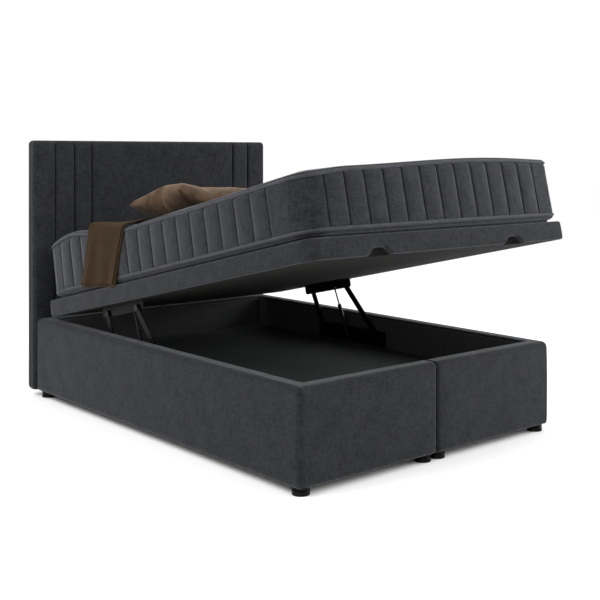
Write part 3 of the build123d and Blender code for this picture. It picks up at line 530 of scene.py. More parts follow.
def coverSection(low, high, wallDepth, ledge, look):
    # points of the wall's section as (depth from the outer face, height, outward direction)
    lowRadius, rimRadius, lipRadius = look["lowRadius"], look["rimRadius"], look["lipRadius"]
    padding = look["padding"]
    section = [(padding, low, 0, 0)]
    section += arc(lowRadius, low + lowRadius, lowRadius, 270, 180, 4)
    bottom, top = low + lowRadius, high - rimRadius
    for share in np.linspace(0, 1, look["wallRows"])[1:-1]:
        section.append((0, bottom + share * (top - bottom), -1, 0))
    section += arc(rimRadius, top, rimRadius, 180, 90, 8)
    for share in np.linspace(0, 1, look["rimRows"])[1:-1]:
        section.append((rimRadius + share * (wallDepth - rimRadius - lipRadius), high, 0, 1))
    section += arc(wallDepth - lipRadius, high - lipRadius, lipRadius, 90, 0, 6)
    section += [(wallDepth, ledge, 1, 0), ((wallDepth + padding) / 2, ledge, 0, 0)]
    section += [(padding, ledge + (low - ledge) * share, 0, 0) for share in (0, 0.3, 0.6)]
    return np.array(section)


def buildBaseCover(side, sideName, look):
    low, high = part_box(f"base_cover_{sideName}")
    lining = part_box(f"side_lining_{sideName}")
    splitX, outer = sorted((abs(low.x), abs(high.x)))
    wallDepth = outer - min(abs(lining[0].x), abs(lining[1].x))
    section = coverSection(low.z, high.z, wallDepth, lining[1].z + clearance, look)
    middleY, halfY = (low.y + high.y) / 2, (high.y - low.y) / 2
    splitRadius, footRadius, step = look["splitRadius"], look["footRadius"], look["step"]
    # columns from the split at the head, round the side, to the split at the foot
    rounding = [splitRadius * (1 - cos(radians(a))) for a in (0, 20, 40, 60, 80)]
    rows = [
        (splitX + r, splitRadius - (splitRadius ** 2 - (splitRadius - r) ** 2) ** 0.5)
        for r in rounding
    ]
    rows += [(x, 0) for x in np.linspace(splitX + splitRadius, outer - footRadius, int(outer / step))]
    columns = []
    for y, way, radius in ((high.y, 1, look["headRadius"]), (low.y, -1, footRadius)):
        straight = [(x, y - way * radius, 0, way, radius, inset) for x, inset in rows[::way]]
        corner = [
            (outer - radius, y - way * radius, sin(a), way * cos(a), radius, 0)
            for a in np.radians(np.linspace(0, 90, 9))
        ]
        if way > 0:
            runY = np.linspace(y - 2 * radius, low.y + 2 * footRadius, int(2 * halfY / step))
            columns += straight + corner
            columns += [(outer - radius, place, 1, 0, radius, 0) for place in runY]
        else:
            columns += corner[::-1] + straight
    spotX, spotY, wayX, wayY, radii, ends = np.array(columns, float).T
    ways = np.stack([side * wayX, wayY], -1)
    longWave, shortWave, rimWave = look["waves"]
    rings = []
    for depth, height, wayOut, wayUp in section:
        inset = depth - wayOut * ends
        radius = np.maximum(radii - inset, 0.6 * mm)
        scaleX = (outer - inset - radius - splitX) / (outer - radii - splitX)
        scaleY = (halfY - inset - radius) / (halfY - radii)
        x = splitX + (spotX - splitX) * scaleX + wayX * radius
        y = middleY + (spotY - middleY) * scaleY + wayY * radius
        z = height - 0.4 * wayUp * ends
        points = np.stack([side * x, y, z], -1)
        if wayOut < 0:
            # the foam swells the face, less towards the split, the floor and the rim
            rise = (z - low.z) / (high.z - low.z)
            swell = look["swell"] * (1 - (2 * rise - 1) ** 4) * -wayOut
            fade = np.clip((x - splitX) / look["splitFade"], 0, 1)
            fade *= np.clip((high.y - y) / look["headFade"], 0, 1)
            waver = look["waver"] * ripple(points, longWave, 3 + side)
            waver += 0.4 * look["waver"] * ripple(points, shortWave, 9 + side)
            points[:, :2] += ways * ((swell + waver) * fade)[:, None]
        elif wayUp > 0:
            uneven = ripple(points, rimWave, 5 + side) - wayUp
            points[:, 2] += 0.5 * look["waver"] * uneven * (ends == 0)
        rings.append(points)
    faces = gridFaces(len(rings), len(columns), closeRows=True, closeColumns=False)
    faces.append([row * len(columns) for row in range(len(rings))])
    faces.append([(row + 1) * len(columns) - 1 for row in range(len(rings))][::-1])
    piece = makePiece(f"coverBase_{sideName}", rings, faces, "brushedChenille")
    settlePiece(piece, "root", f"base_cover_{sideName}")


for sideName, side in {"left": -1, "right": 1}.items():
    buildBaseCover(side, sideName, baseCover)
print("base covers made")


def spacedEnds(low, high, radius, step):
    # places along an edge, close together in the rounded ends
    ends = [radius * (1 - cos(radians(a))) for a in (0, 18, 36, 54, 72)]
    count = max(2, int((high - low - 2 * radius) / step))
    run = np.linspace(low + radius, high - radius, count + 1)
    return np.array([low + e for e in ends] + list(run) + [high - e for e in ends[::-1]])


def softBox(low, high, radii, step):
    # a box with rounded edges as a closed grid, in three pairs of faces that share their rims
    low, high = np.array(low), np.array(high)
    radii = np.array(radii)  # for each axis: at its low end, at its high end
    places = [spacedEnds(low[axis], high[axis], min(radii[axis]), step) for axis in range(3)]
    index, points, faces = {}, [], []
    counts = [len(row) - 1 for row in places]
    for axis in range(3):
        first, second = [other for other in range(3) if other != axis]
        for level in (0, counts[axis]):
            for a in range(counts[first]):
                for b in range(counts[second]):
                    face = []
                    for stepA, stepB in ((0, 0), (1, 0), (1, 1), (0, 1)):
                        spot = [0, 0, 0]
                        spot[axis], spot[first], spot[second] = level, a + stepA, b + stepB
                        if tuple(spot) not in index:
                            index[tuple(spot)] = len(points)
                            points.append([row[place] for row, place in zip(places, spot)])
                        face.append(index[tuple(spot)])
                    faces.append(face)
    points = np.array(points)
    core = np.clip(points, low + radii[:, 0], high - radii[:, 1])
    reach = points - core
    local = np.where(reach < 0, radii[:, 0], radii[:, 1])
    length = np.linalg.norm(reach / np.maximum(local, 1e-9), axis=1)[:, None]
    return core + reach / np.maximum(length, 1e-9), faces


# headboard front: padded panels and strips
headboardPads = {
    "sideRadius": 17 * mm, "frontRadius": 17 * mm, "topRadius": 24 * mm, "backRadius": 3 * mm,
    "swell": 2.5 * mm, "waver": 0.6 * mm, "wave": 240 * mm, "step": 16 * mm,
}


def buildHeadboardPads(look):
    sideRadius = look["sideRadius"]
    radii = [
        (sideRadius, sideRadius), (look["frontRadius"], look["backRadius"]),
        (sideRadius, look["topRadius"]),
    ]
    for nodeName in sorted(nodes):
        if not nodeName.startswith(("headboard_panel", "headboard_strip")):
            continue
        start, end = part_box(nodeName)
        points, faces = softBox(start, end, radii, look["step"])
        across = (points[:, 0] - start.x) / (end.x - start.x) * 2 - 1
        upward = (points[:, 2] - start.z) / (end.z - start.z) * 2 - 1
        front = np.clip((end.y - points[:, 1]) / (end.y - start.y), 0, 1) ** 2
        swell = look["swell"] * (1 - across ** 4) * (1 - upward ** 8)
        waver = look["waver"] * ripple(points, look["wave"], 4.0 + start.x)
        points[:, 1] -= front * (swell + waver * (1 - across ** 6))
        name = "pad_" + nodeName.replace("headboard_", "")
        piece = makePiece(name, points, faces, "brushedChenille")
        settlePiece(piece, "root", nodeName)


# headboard case: a closed shell over the board's back, sides and top, open behind the pads
headboardCase = {
    "corner": 22 * mm, "edge": 12 * mm, "lip": 5 * mm, "step": 20 * mm, "cornerRun": 30 * mm,
    "slack": 0.8 * mm, "wave": 300 * mm,
    "backDepths": np.array([25, 60, 120, 220, 340, 480, 590]) * mm,
}


def buildHeadboardCase(look):
    low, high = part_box("headboard_case")
    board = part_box("headboard_board")
    half, centre = (high - low) / 2, (high + low) / 2
    sideWall = board[0].x - low.x - clearance
    backInside = board[1].y + clearance
    edge, lip = look["edge"], look["lip"]
    runX, runZ = (
        np.linspace(-reach + look["cornerRun"], reach - look["cornerRun"], int(reach * 2 / look["step"]))
        for reach in (half.x, half.z)
    )
    stations = rectangleStations(half.x, half.z, look["corner"], runX, runZ, 6)
    section = [(sideWall, backInside), (sideWall, (low.y + backInside) / 2), (sideWall, low.y)]
    section += [
        (lip + lip * cos(a), low.y + lip - lip * sin(a)) for a in np.radians((45, 90, 135, 180))
    ]
    section += [(0, y) for y in np.linspace(low.y + lip, high.y - edge, 4)[1:-1]]
    section += [
        (edge - edge * cos(a), high.y - edge + edge * sin(a))
        for a in np.radians(np.linspace(0, 90, 6))
    ]
    section += [(depth, high.y) for depth in look["backDepths"]]
    rings = []
    for depth, y in section:
        ring = outlineRing(stations, depth)
        points = np.stack([centre.x + ring[:, 0], np.full(len(ring), y), centre.z + ring[:, 1]], -1)
        if depth >= edge and y >= high.y:
            points[:, 1] -= look["slack"] * (1 + ripple(points, look["wave"], 2.0))
        rings.append(points)
    piece = makePiece("caseHeadboard", rings, shellFaces(rings), "brushedChenille")
    settlePiece(piece, "root", "headboard_case")


buildHeadboardPads(headboardPads)
buildHeadboardCase(headboardCase)
print("headboard made")


# lid cover: a padded band round the lid frame, with the two hand notches at the foot end
lidCover = {
    "radius": 50 * mm, "footRight": 16 * mm, "edge": 7 * mm, "skin": 11.8 * mm,
    "topSkin": 5.7 * mm, "swell": 3.0 * mm, "waver": 0.8 * mm, "wave": 230 * mm, "step": 12 * mm,
    "notchX": 378 * mm, "notchWidth": 130 * mm, "notchTopWidth": 40 * mm,
    "notchHeight": 29 * mm, "notchDepth": 40 * mm, "footRun": 45 * mm,
    "topDepths": np.array([12, 25, 45, 68]) * mm,
}


def notchRise(x, look):
    # how high the band's lower edge lifts over a hand notch
    reach = np.abs(np.abs(x) - look["notchX"])
    wide, narrow = look["notchWidth"] / 2, look["notchTopWidth"] / 2
    share = np.clip((wide - reach) / (wide - narrow), 0, 1)
    return look["notchHeight"] * share * share * (3 - 2 * share)


def lidStations(half, radius, look, steps):
    # even columns, with more of them at the corners of each hand notch
    runX, runY = (
        np.linspace(-reach + radius, reach - radius, int(reach * 2 / look["step"]))[1:-1]
        for reach in half[:2]
    )
    edges = np.array([-68, -65, -62, -36, -32, -28, 28, 32, 36, 62, 65, 68]) * mm
    runX = np.sort(np.concatenate([runX, edges - look["notchX"], edges + look["notchX"]]))
    footRight = radius * look["footRight"] / look["radius"]
    return rectangleStations(half[0], half[1], radius, runX, runY, steps, footRight)


def buildLidCover(look):
    low, high, half, centreY = lidBox("lid_cover")
    height = high[2]
    stations = lidStations(half, look["radius"], look, 14)
    edge, skin = look["edge"], look["skin"]
    inside = [(skin, height - look["topSkin"])]
    inside += [(skin, height * share) for share in (0.7, 0.4, 0.15, 0)]
    outside = [(edge + 2 * mm, 0.0), *edgeArc(edge)]
    outside += [(0, edge + (height - 2 * edge) * share) for share in np.linspace(0, 1, 10)[1:-1]]
    outside += edgeArc(edge, height) + [(depth, height) for depth in look["topDepths"]]
    rings = []
    for count, (depth, rise) in enumerate(inside + outside):
        points = levelRing(stations, depth, centreY, rise)
        if count >= len(inside) and depth < edge:
            share = rise / height * 2 - 1
            swell = look["swell"] * (1 - share ** 4)
            waver = look["waver"] * ripple(points, look["wave"], 7.0) * (1 - share ** 6)
            points[:, :2] += stations["ways"] * (swell + waver)[:, None]
        atFoot = points[:, 1] < low[1] + look["footRun"]
        lift = np.where(atFoot, notchRise(points[:, 0], look), 0)
        points[:, 2] += lift * (1 - rise / height) ** 1.2 if rise < height else 0
        rings.append(points)
    piece = makePiece("coverLid", fromLid(rings), shellFaces(rings), "brushedChenilleLid")
    settlePiece(piece, "lid", "lid_cover")


# lid lining: black cloth stretched under the lid frame, with a slight sag between the brackets
lidLining = {
    "depths": np.array([0, 45, 80, 130, 200, 300, 420, 560, 660]) * mm, "sag": 2.5 * mm,
    "waver": 0.8 * mm, "wave": 350 * mm, "clearX": 520 * mm, "clearRun": 160 * mm,
    "edgeRun": (60 * mm, 140 * mm),
}


def buildLidLining(look, cover):
    low, high, half, centreY = lidBox("lid_lining")
    stations = lidStations(half, cover["radius"] - cover["skin"], cover, 10)
    fromNotch = np.abs(np.abs(stations["spots"][:, 0]) - cover["notchX"])
    bite = (stations["ways"][:, 1] < -0.9) & (fromNotch < cover["notchWidth"] / 2 - 1 * mm)
    notch = np.where(bite, cover["notchDepth"] - cover["skin"], 0)
    under, over = [], []
    for depth in look["depths"]:
        inset = np.maximum(depth, notch)
        points = levelRing(stations, inset, centreY, 0)
        clear = np.clip((look["clearX"] - np.abs(points[:, 0])) / look["clearRun"], 0, 1)
        clear *= np.clip((depth - look["edgeRun"][0]) / look["edgeRun"][1], 0, 1)
        points[:, 2] -= clear * (look["sag"] + look["waver"] * ripple(points, look["wave"], 1.0))
        under.append(points)
        over.append(levelRing(stations, inset, centreY, high[2] - low[2]))
    rings = under[::-1] + over
    piece = makePiece("liningLid", fromLid(rings), shellFaces(rings), "pressedUnderCloth")
    settlePiece(piece, "lid", "lid_lining")


buildLidCover(lidCover)
buildLidLining(lidLining, lidCover)
print("lid cover made")


# linings of the storage space: each with the axis it faces along, its shown end, and its walls
liningLook = {
    "side_left": (0, 1, ["side_panel_left"]), "side_right": (0, 0, ["side_panel_right"]),
    "foot": (1, 1, ["foot_panel_left", "foot_panel_right"]),
    "head": (1, 0, ["head_panel_left", "head_panel_right"]),
    "radius": 1 * mm, "step": 40 * mm, "dent": 0.35 * mm, "wave": 180 * mm, "rim": 20 * mm,
}


def buildLinings(look):
    for name in ("side_left", "side_right", "foot", "head"):
        axis, face, walls = look[name]
        nodeName = f"{name}_lining" if axis else name.replace("_", "_lining_")
        low, high = (np.array(corner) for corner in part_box(nodeName))
        points, faces = softBox(low, high, [(look["radius"], look["radius"])] * 3, look["step"])
        shown = np.abs(points[:, axis] - (high[axis] if face else low[axis])) < 0.2 * mm
        rims = np.minimum(points[:, 2] - low[2], high[2] - points[:, 2]) / look["rim"]
        dent = look["dent"] * (1 + ripple(points, look["wave"], 5.0 + axis)) * np.clip(rims, 0, 1)
        points[:, axis] -= (1 if face else -1) * dent * shown
        # the lining cloth is painted lighter, as painted light in the shaded storage space
        piece = makePiece(f"lining_{name}", points, faces, "pressedLining")
        settlePiece(piece, "root", nodeName)


# dust covers: stapled up under each half's walls, so they hide the walls' lower ends as well
dustCover = {
    "splitGap": 6 * mm, "below": (1.6 * mm, 0.2 * mm), "radius": 0.5 * mm, "step": 60 * mm,
    "sag": 2.5 * mm, "sagRun": 200 * mm, "waver": 0.8 * mm, "wave": 300 * mm,
}


def buildDustCover(side, sideName, look):
    low, high = (np.array(corner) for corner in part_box(f"side_panel_{sideName}"))
    inner = look["splitGap"] * side
    start = np.array([min(low[0], inner), low[1], low[2] - look["below"][0]])
    end = np.array([max(high[0], inner), high[1], low[2] - look["below"][1]])
    points, faces = softBox(start, end, [(look["radius"], look["radius"])] * 3, look["step"])
    span = np.minimum(points - start, end - points)[:, :2].min(1)
    drop = look["sag"] + look["waver"] * ripple(points, look["wave"], 6.0)
    points[:, 2] -= np.clip(span / look["sagRun"], 0, 1) * drop
    piece = makePiece(f"dustCover_{sideName}", points, faces, "pressedUnderCloth")
    settlePiece(piece, "root", "dust_covers" if side < 0 else None)


buildLinings(liningLook)
for sideName, side in {"left": -1, "right": 1}.items():
    buildDustCover(side, sideName, dustCover)
print("linings made")


# mattress: a border sewn in channels between two taped edges, under a crowned top
mattress = {
    "corner": 100 * mm, "leastCorner": 30 * mm, "footRight": 26 * mm, "lowRoll": 32 * mm,
    "highRoll": 16 * mm, "edgeHeight": 250 * mm, "edgeInset": 22 * mm, "edgeDrop": 3 * mm,
    "crownRun": 450 * mm, "crownPower": 2.3,
    "tapeHeights": (28 * mm, 233 * mm), "seamDepth": 8 * mm, "seamReach": 7 * mm,
    "seamDrop": 5 * mm, "rollMiddle": 24 * mm, "rollRun": 16 * mm, "borderSkin": 2 * mm,
    "channelDepth": 6.5 * mm, "channelWidth": 2.8 * mm, "puff": 4.5 * mm, "puffPower": 2.4,
    "sidePitch": 100 * mm, "sideStart": 154 * mm, "sideCount": 17,
    "endPitch": 98.3 * mm, "endCount": 13,
    "pucker": 0.8 * mm, "puckerWaves": (38 * mm, 150 * mm), "topWaver": 0.8 * mm, "topWave": 260 * mm,
    # swells and sags of the top edge, as (height, where it peaks, its reach)
    "headBow": (42 * mm, 265 * mm, 210 * mm), "middleSag": (14 * mm, 850 * mm, 260 * mm),
    "footBow": (35 * mm, 290 * mm, 620 * mm), "cornerSag": (15 * mm, 900 * mm, 350 * mm),
    "bowFade": 900 * mm, "footRun": 450 * mm, "cornerFade": 250 * mm,
    # where the rings lie: inward underneath, up the border, and inward over the top
    "underDepths": np.array([640, 300, 60]) * mm,
    "borderHeights": np.array([
        0, 2, 4, 6, 8, 10, 13, 16, 19, 22, 25, 28, 31, 34, 38, 46, 58, 75, 95, 120, 145, 170, 190,
        206, 217, 221, 224, 227, 230, 233, 237, 240, 243, 246,
    ]) * mm,
    "topDepths": np.array([26, 34, 46, 62, 85, 120, 170, 230, 300, 380, 460, 560, 640]) * mm,
}


def mattressBow(x, y, low, high, look):
    # how far the top edge arches up or sags at a place
    def swell(name, value):
        rise, peak, reach = look[name]
        return rise * np.exp(-((value - peak) / reach) ** 2)

    along = high[1] - y
    bow = swell("headBow", along) * np.clip(0.5 - x / look["bowFade"], 0, 1)
    bow -= swell("middleSag", along)
    sag, start, run = look["cornerSag"]
    toward = np.clip((along - start) / run, 0, 1)
    toward = toward * np.clip(1 - (x - low[0]) / look["cornerFade"], 0, 1)
    bow -= sag * toward ** 2 * (3 - 2 * toward)
    return bow + swell("footBow", x) * np.clip(1 - (y - low[1]) / look["footRun"], 0, 1)


def borderInset(height, look):
    # the border's section: straight between the tapes, rolled in under the low one, over the high
    lowTape, highTape = look["tapeHeights"]
    below = min(0.95, max(0, (look["rollMiddle"] - height) / look["rollRun"]))
    above = max(0, (height - highTape) / (look["edgeHeight"] - highTape)) * 0.97
    inset = look["borderSkin"] + look["lowRoll"] * (1 - (1 - below ** 2) ** 0.5)
    inset += look["highRoll"] * (1 - (1 - above ** 2) ** 0.5)
    underTape = max(highTape - look["seamDrop"] - height, height - highTape, 0)
    seam = max(0, 1 - min(abs(height - lowTape), underTape) / look["seamReach"])
    return inset + look["seamDepth"] * seam


def channelRuns(places, reach):
    # places along one side: close together at each channel, wider on the panels between
    near = np.array([-9, -5, -2.6, -1.2, 0, 1.2, 2.6, 5, 9]) * mm
    rows = [place + offset for place in places for offset in near]
    for first, second in zip([-reach, *places], [*places, reach]):
        rows += list(np.linspace(first, second, 9)[2:-2])
    return np.array(sorted(rows))


def buildMattress(look):
    low, high, half, centreY = lidBox("mattress")
    bottom = low[2] + clearance
    edgeHeight = look["edgeHeight"]
    crown = high[2] - low[2] - edgeHeight
    pitches = np.arange(look["sideCount"])[::-1] * look["sidePitch"]
    sideY = high[1] - look["sideStart"] - centreY - pitches
    endX = (np.arange(look["endCount"]) - (look["endCount"] - 1) / 2) * look["endPitch"]
    runX, runY = (
        channelRuns(places[np.abs(places) < reach - look["corner"] - 8 * mm], reach - look["corner"])
        for places, reach in ((endX, half[0]), (sideY, half[1]))
    )
    stations = rectangleStations(
        half[0], half[1], look["corner"], runX, runY, 16, look["footRight"]
    )
    spots, ways = stations["spots"], stations["ways"]
    # how far each column stands from its nearest channel, and where it is between two channels;
    # round a corner the border is plain
    groove, panel = np.zeros(len(spots)), np.zeros(len(spots))
    for column, (spot, way) in enumerate(zip(spots, ways)):
        if 0.02 < abs(way[0]) < 0.98:
            continue
        places, value = (sideY, spot[1]) if abs(way[0]) > abs(way[1]) else (endX, spot[0])
        groove[column] = np.exp(-(np.abs(places - value).min() / look["channelWidth"]) ** 2)
        below, above = places[places <= value + 1e-6], places[places >= value - 1e-6]
        if len(below) and len(above) and above.min() > below.max():
            share = (value - below.max()) / (above.min() - below.max())
            panel[column] = 1 - abs(2 * share - 1) ** look["puffPower"]
    # each ring as (inset, height, share of the channels' depth, share of the panels' swell)
    tapeLow, tapeHigh = look["tapeHeights"]
    sections = [(depth, 0, 0, 0) for depth in look["underDepths"]]
    for height in look["borderHeights"]:
        between = min(height - tapeLow, tapeHigh - height) / (tapeHigh - tapeLow) * 2
        grooveShare, panelShare = np.clip(between * 8, 0, 1), np.clip(between * 2.6, 0, 1) ** 0.7
        sections.append((borderInset(height, look), height, grooveShare, panelShare))
    edgeInset = sections[-1][0]
    for depth in look["topDepths"]:
        share = np.clip((depth - edgeInset) / (look["crownRun"] - edgeInset), 0, 1)
        crowned = (crown + look["edgeDrop"]) * (1 - (1 - share) ** look["crownPower"])
        sections.append((depth, edgeHeight - look["edgeDrop"] + crowned, 0, 0))
    rings = []
    for depth, height, grooveShare, panelShare in sections:
        inset = depth + look["channelDepth"] * groove * grooveShare - look["puff"] * panel * panelShare
        points = levelRing(stations, inset, centreY, bottom + height, look["leastCorner"])
        if panelShare > 0:
            fine, slow = look["puckerWaves"]
            pucker = look["pucker"] * ripple(points, fine, 2.0) * panelShare
            pucker += look["pucker"] * ripple(points, slow, 8.0)
            points[:, :2] += ways * pucker[:, None]
        crowned = max(0, (height - edgeHeight) / crown)
        bow = mattressBow(points[:, 0], points[:, 1], low, high, look)
        points[:, 2] += bow * min(1, height / tapeHigh) * (1 - crowned)
        if height > edgeHeight:
            points[:, 2] -= look["topWaver"] * (1 + ripple(points, look["topWave"], 3.0))
        rings.append(points)
    rings = fromLid(rings)
    piece = makePiece("mattressBody", rings, shellFaces(rings), "brushedTickingLid")
    settlePiece(piece, "lid", "mattress")
    inBorder = [layer for layer, ring in enumerate(sections) if ring[1] > 0 and ring[2] > 0.9]
    channels = [
        (rings[inBorder, column], ways[column]) for column in np.flatnonzero(groove > 0.999)
    ]
    return {
        "low": low, "high": high, "stations": stations, "centreY": centreY, "bottom": bottom,
        "channels": channels,
    }


made = buildMattress(mattress)  # what the pieces on the mattress need of it


def mattressTop(inset, y):
    # how high the mattress stands above the lid's underside at an inset from its side
    look, low, high = mattress, made["low"], made["high"]
    edgeInset = look["edgeInset"]
    share = np.clip((inset - edgeInset) / (look["crownRun"] - edgeInset), 0, 1)
    crowned = 1 - (1 - share) ** look["crownPower"]
    crown = high[2] - low[2] - look["edgeHeight"]
    bow = mattressBow(inset - high[0], y, low, high, look) * (1 - crowned)
    return low[2] + look["edgeHeight"] + crown * crowned + bow


def borderRing(inset, rise, bowHeight, look=None):
    # a ring round the border that arches with the top edge as much as that height does
    points = levelRing(made["stations"], inset, made["centreY"], made["bottom"] + rise)
    bow = mattressBow(points[:, 0], points[:, 1], made["low"], made["high"], mattress)
    uneven = look["waver"] * ripple(points, look["wave"], 4.0) if look else 0
    points[:, 2] += bow * bowHeight / mattress["tapeHeights"][1] + uneven
    return points


# edge tapes: a rolled woven tape sewn round the mattress at each border seam
edgeTape = {
    "height": 13 * mm, "depth": 10 * mm, "proud": 3.6 * mm, "steps": 12,
    "waver": 0.5 * mm, "wave": 90 * mm,
}


def buildTapes(look):
    for name, height in zip(("lower", "upper"), mattress["tapeHeights"]):
        rings = []
        tuck = borderInset(height, mattress) - mattress["seamDepth"]
        for angle in np.linspace(0, 2 * pi, look["steps"] + 1)[:-1]:
            inset = tuck - look["proud"] + look["depth"] / 2 * (1 - cos(angle))
            rise = height + look["height"] / 2 * sin(angle)
            rings.append(borderRing(inset, rise, height, look))
        faces = gridFaces(len(rings), len(rings[0]), closeRows=True)
        piece = makePiece(f"edgeTape_{name}", fromLid(rings), faces, "wovenTapeLid")
        settlePiece(piece, "lid", "mattress_tapes" if name == "lower" else None)


buildTapes(edgeTape)
print("mattress made")


# pillow: two panels sewn at the edge and filled, blown up by a cloth simulation
pillow = {
    "pressure": 9.0, "frames": 26, "start": 24 * mm, "columns": 60, "rows": 40,
    "slack": (1.06, 1.1), "stiffness": 12.0, "bending": 0.4, "mass": 0.25, "quality": 6,
    "seamHeight": 0.37,  # as a share of the pillow's thickness
    "crease": 3.5 * mm, "creaseCount": 17, "creaseReach": 90 * mm,
    "waver": 1.2 * mm, "wave": 150 * mm,
    "dimple": (-0.31, 0.07, 0.035, 12 * mm),  # its place across and along, its reach and depth
    "sagPlaces": (-0.51, -0.42, -0.33, -0.2, 0.02, 0.21),
    "sagRises": (0.03, 0.012, -0.029, -0.048, -0.046, -0.054),
    "relaxing": 6, "levels": 2,
}


def runCloth(piece, look):
    cloth = piece.modifiers.new("Cloth", "CLOTH")
    settings = cloth.settings
    settings.quality = look["quality"]
    settings.mass = look["mass"]
    settings.tension_stiffness = settings.compression_stiffness = look["stiffness"]
    settings.shear_stiffness = look["stiffness"] / 2
    settings.bending_stiffness = look["bending"]
    settings.use_pressure = True
    settings.uniform_pressure_force = look["pressure"]
    settings.effector_weights.gravity = 0
    cloth.collision_settings.use_self_collision = False
    cloth.point_cache.frame_start, cloth.point_cache.frame_end = 1, look["frames"]
    for number in range(1, look["frames"] + 1):
        scene.frame_set(number)
    solved = piece.evaluated_get(bpy.context.evaluated_depsgraph_get())
    points = np.array([vertex.co for vertex in solved.data.vertices])
    piece.modifiers.remove(cloth)
    scene.frame_set(1)
    return points


def buildPillow(look):
    low, high, half, _ = lidBox("pillow")
    columns, rows = look["columns"], look["rows"]
    spots, faces = [], []
    for layer in (1, -1):
        offset = len(spots)
        for face in gridFaces(rows + 1, columns + 1, closeColumns=False):
            faces.append([offset + corner for corner in face[::layer]])
        for row in range(rows + 1):
            for column in range(columns + 1):
                u, v = column / columns * 2 - 1, row / rows * 2 - 1
                rim = (1 - abs(u) ** 6) * (1 - abs(v) ** 6)
                spots.append((
                    u * half[0] * look["slack"][0], v * half[1] * look["slack"][1],
                    layer * look["start"] / 2 * rim,
                ))
    piece = makePiece("pillowCushion", spots, faces, "cottonVelvet", closed=False)
    tidyMesh(piece.data, weldWithin=0.2 * mm)
    points = runCloth(piece, look)
    # scaled to the pillow's size, above and below the seam each for itself
    thick, seam = high[2] - low[2], look["seamHeight"]
    above, below = thick * (1 - seam) / points[:, 2].max(), -thick * seam / points[:, 2].min()
    points[:, :2] *= half[:2] / np.abs(points[:, :2]).max(0)
    points[:, 2] *= np.where(points[:, 2] > 0, above, below)
    points += np.array([*(low + half)[:2], low[2] + thick * seam])
    # creases run in from the four corners, and the pillow sags towards its right end
    for cornerX in (low[0], high[0]):
        for cornerY in (low[1], high[1]):
            awayX, awayY = np.abs(points[:, 0] - cornerX), np.abs(points[:, 1] - cornerY)
            fan = np.arctan2(awayY, awayX)
            fade = np.exp(-np.hypot(awayX, awayY) / look["creaseReach"])
            points[:, 2] += look["crease"] * np.sin(look["creaseCount"] * fan) * fade * np.sin(fan * 2)
    points[:, 2] += look["waver"] * ripple(points, look["wave"], 6.0)
    dimpleX, dimpleY, dimpleReach, dimpleDepth = look["dimple"]
    away = np.hypot(points[:, 0] - dimpleX, 0.6 * (points[:, 1] - low[1] - dimpleY))
    points[:, 2] -= dimpleDepth * np.exp(-(away / dimpleReach) ** 2)
    sag = np.polyval(np.polyfit(look["sagPlaces"], look["sagRises"], 3), points[:, 0])
    floorRise = mattressTop(made["high"][0] - np.abs(points[:, 0]), points[:, 1]) + 1 * mm
    points[:, 2] = np.maximum(points[:, 2] + sag, np.minimum(points[:, 2], floorRise))
    piece.data.vertices.foreach_set("co", fromLid(points).astype(np.float32).ravel())
    piece.data.update()
    relax = piece.modifiers.new("Relax", "SMOOTH")
    relax.factor, relax.iterations = 0.5, look["relaxing"]
    smooth = piece.modifiers.new("Smooth", "SUBSURF")
    smooth.levels = smooth.render_levels = look["levels"]
    applyModifiers(piece)
    settlePiece(piece, "lid", "pillow")


buildPillow(pillow)
print("pillow made")


# throw: a sheet folded in half lengthwise, hung over the left edge in soft waves
throwLook = {
    "start": 300 * mm, "width": 308 * mm, "hemRise": (119 * mm, 80 * mm), "sideGap": 3 * mm,
    "edge": 24 * mm, "loft": (26 * mm, 8 * mm), "loftRun": 330 * mm, "lean": 26.3,
    "leanRun": 120 * mm, "foldBulge": 0.012,
    "folds": 9 * mm, "foldCount": 2.6, "waver": 3 * mm, "topEnd": 430 * mm, "cloth": 2.2 * mm,
    "layerGap": 3.4 * mm, "skin": 1.4 * mm, "under": 14 * mm, "columns": 44,
    "hangRows": 22, "edgeRows": 8, "topRows": 16,
}


def throwProfile(skin, look, side, across, drop):
    # the run of the cloth in its own leaning plane, from hem to top end, as (x, height, share down)
    lean = cos(radians(look["lean"]))
    edge, edgeX = look["edge"], -side - look["sideGap"]
    startY = -look["start"] - look["width"] * across - look["leanRun"]
    loft, hemRise = (
        first + (last - first) * across for first, last in (look["loft"], look["hemRise"])
    )
    centreX, centreZ = edgeX + edge, mattressTop(mattress["edgeInset"], startY) / lean + loft - edge
    radius, hem = edge + skin, (hemRise - drop) / lean
    rows = [
        (edgeX - skin, hem + (centreZ - hem) * (1 - share), share)
        for share in np.linspace(1, 0, look["hangRows"])
    ]
    rows += [
        (centreX + radius * cos(a), centreZ + radius * sin(a), 0)
        for a in np.radians(np.linspace(180, 90, look["edgeRows"]))[1:]
    ]
    for x in np.linspace(centreX, -look["topEnd"], look["topRows"])[1:]:
        settle = max(0, 1 - (x - centreX) / look["loftRun"])
        rows.append((x, mattressTop(side + x, startY) / lean + skin + loft * settle, 0))
    return np.array(rows).T


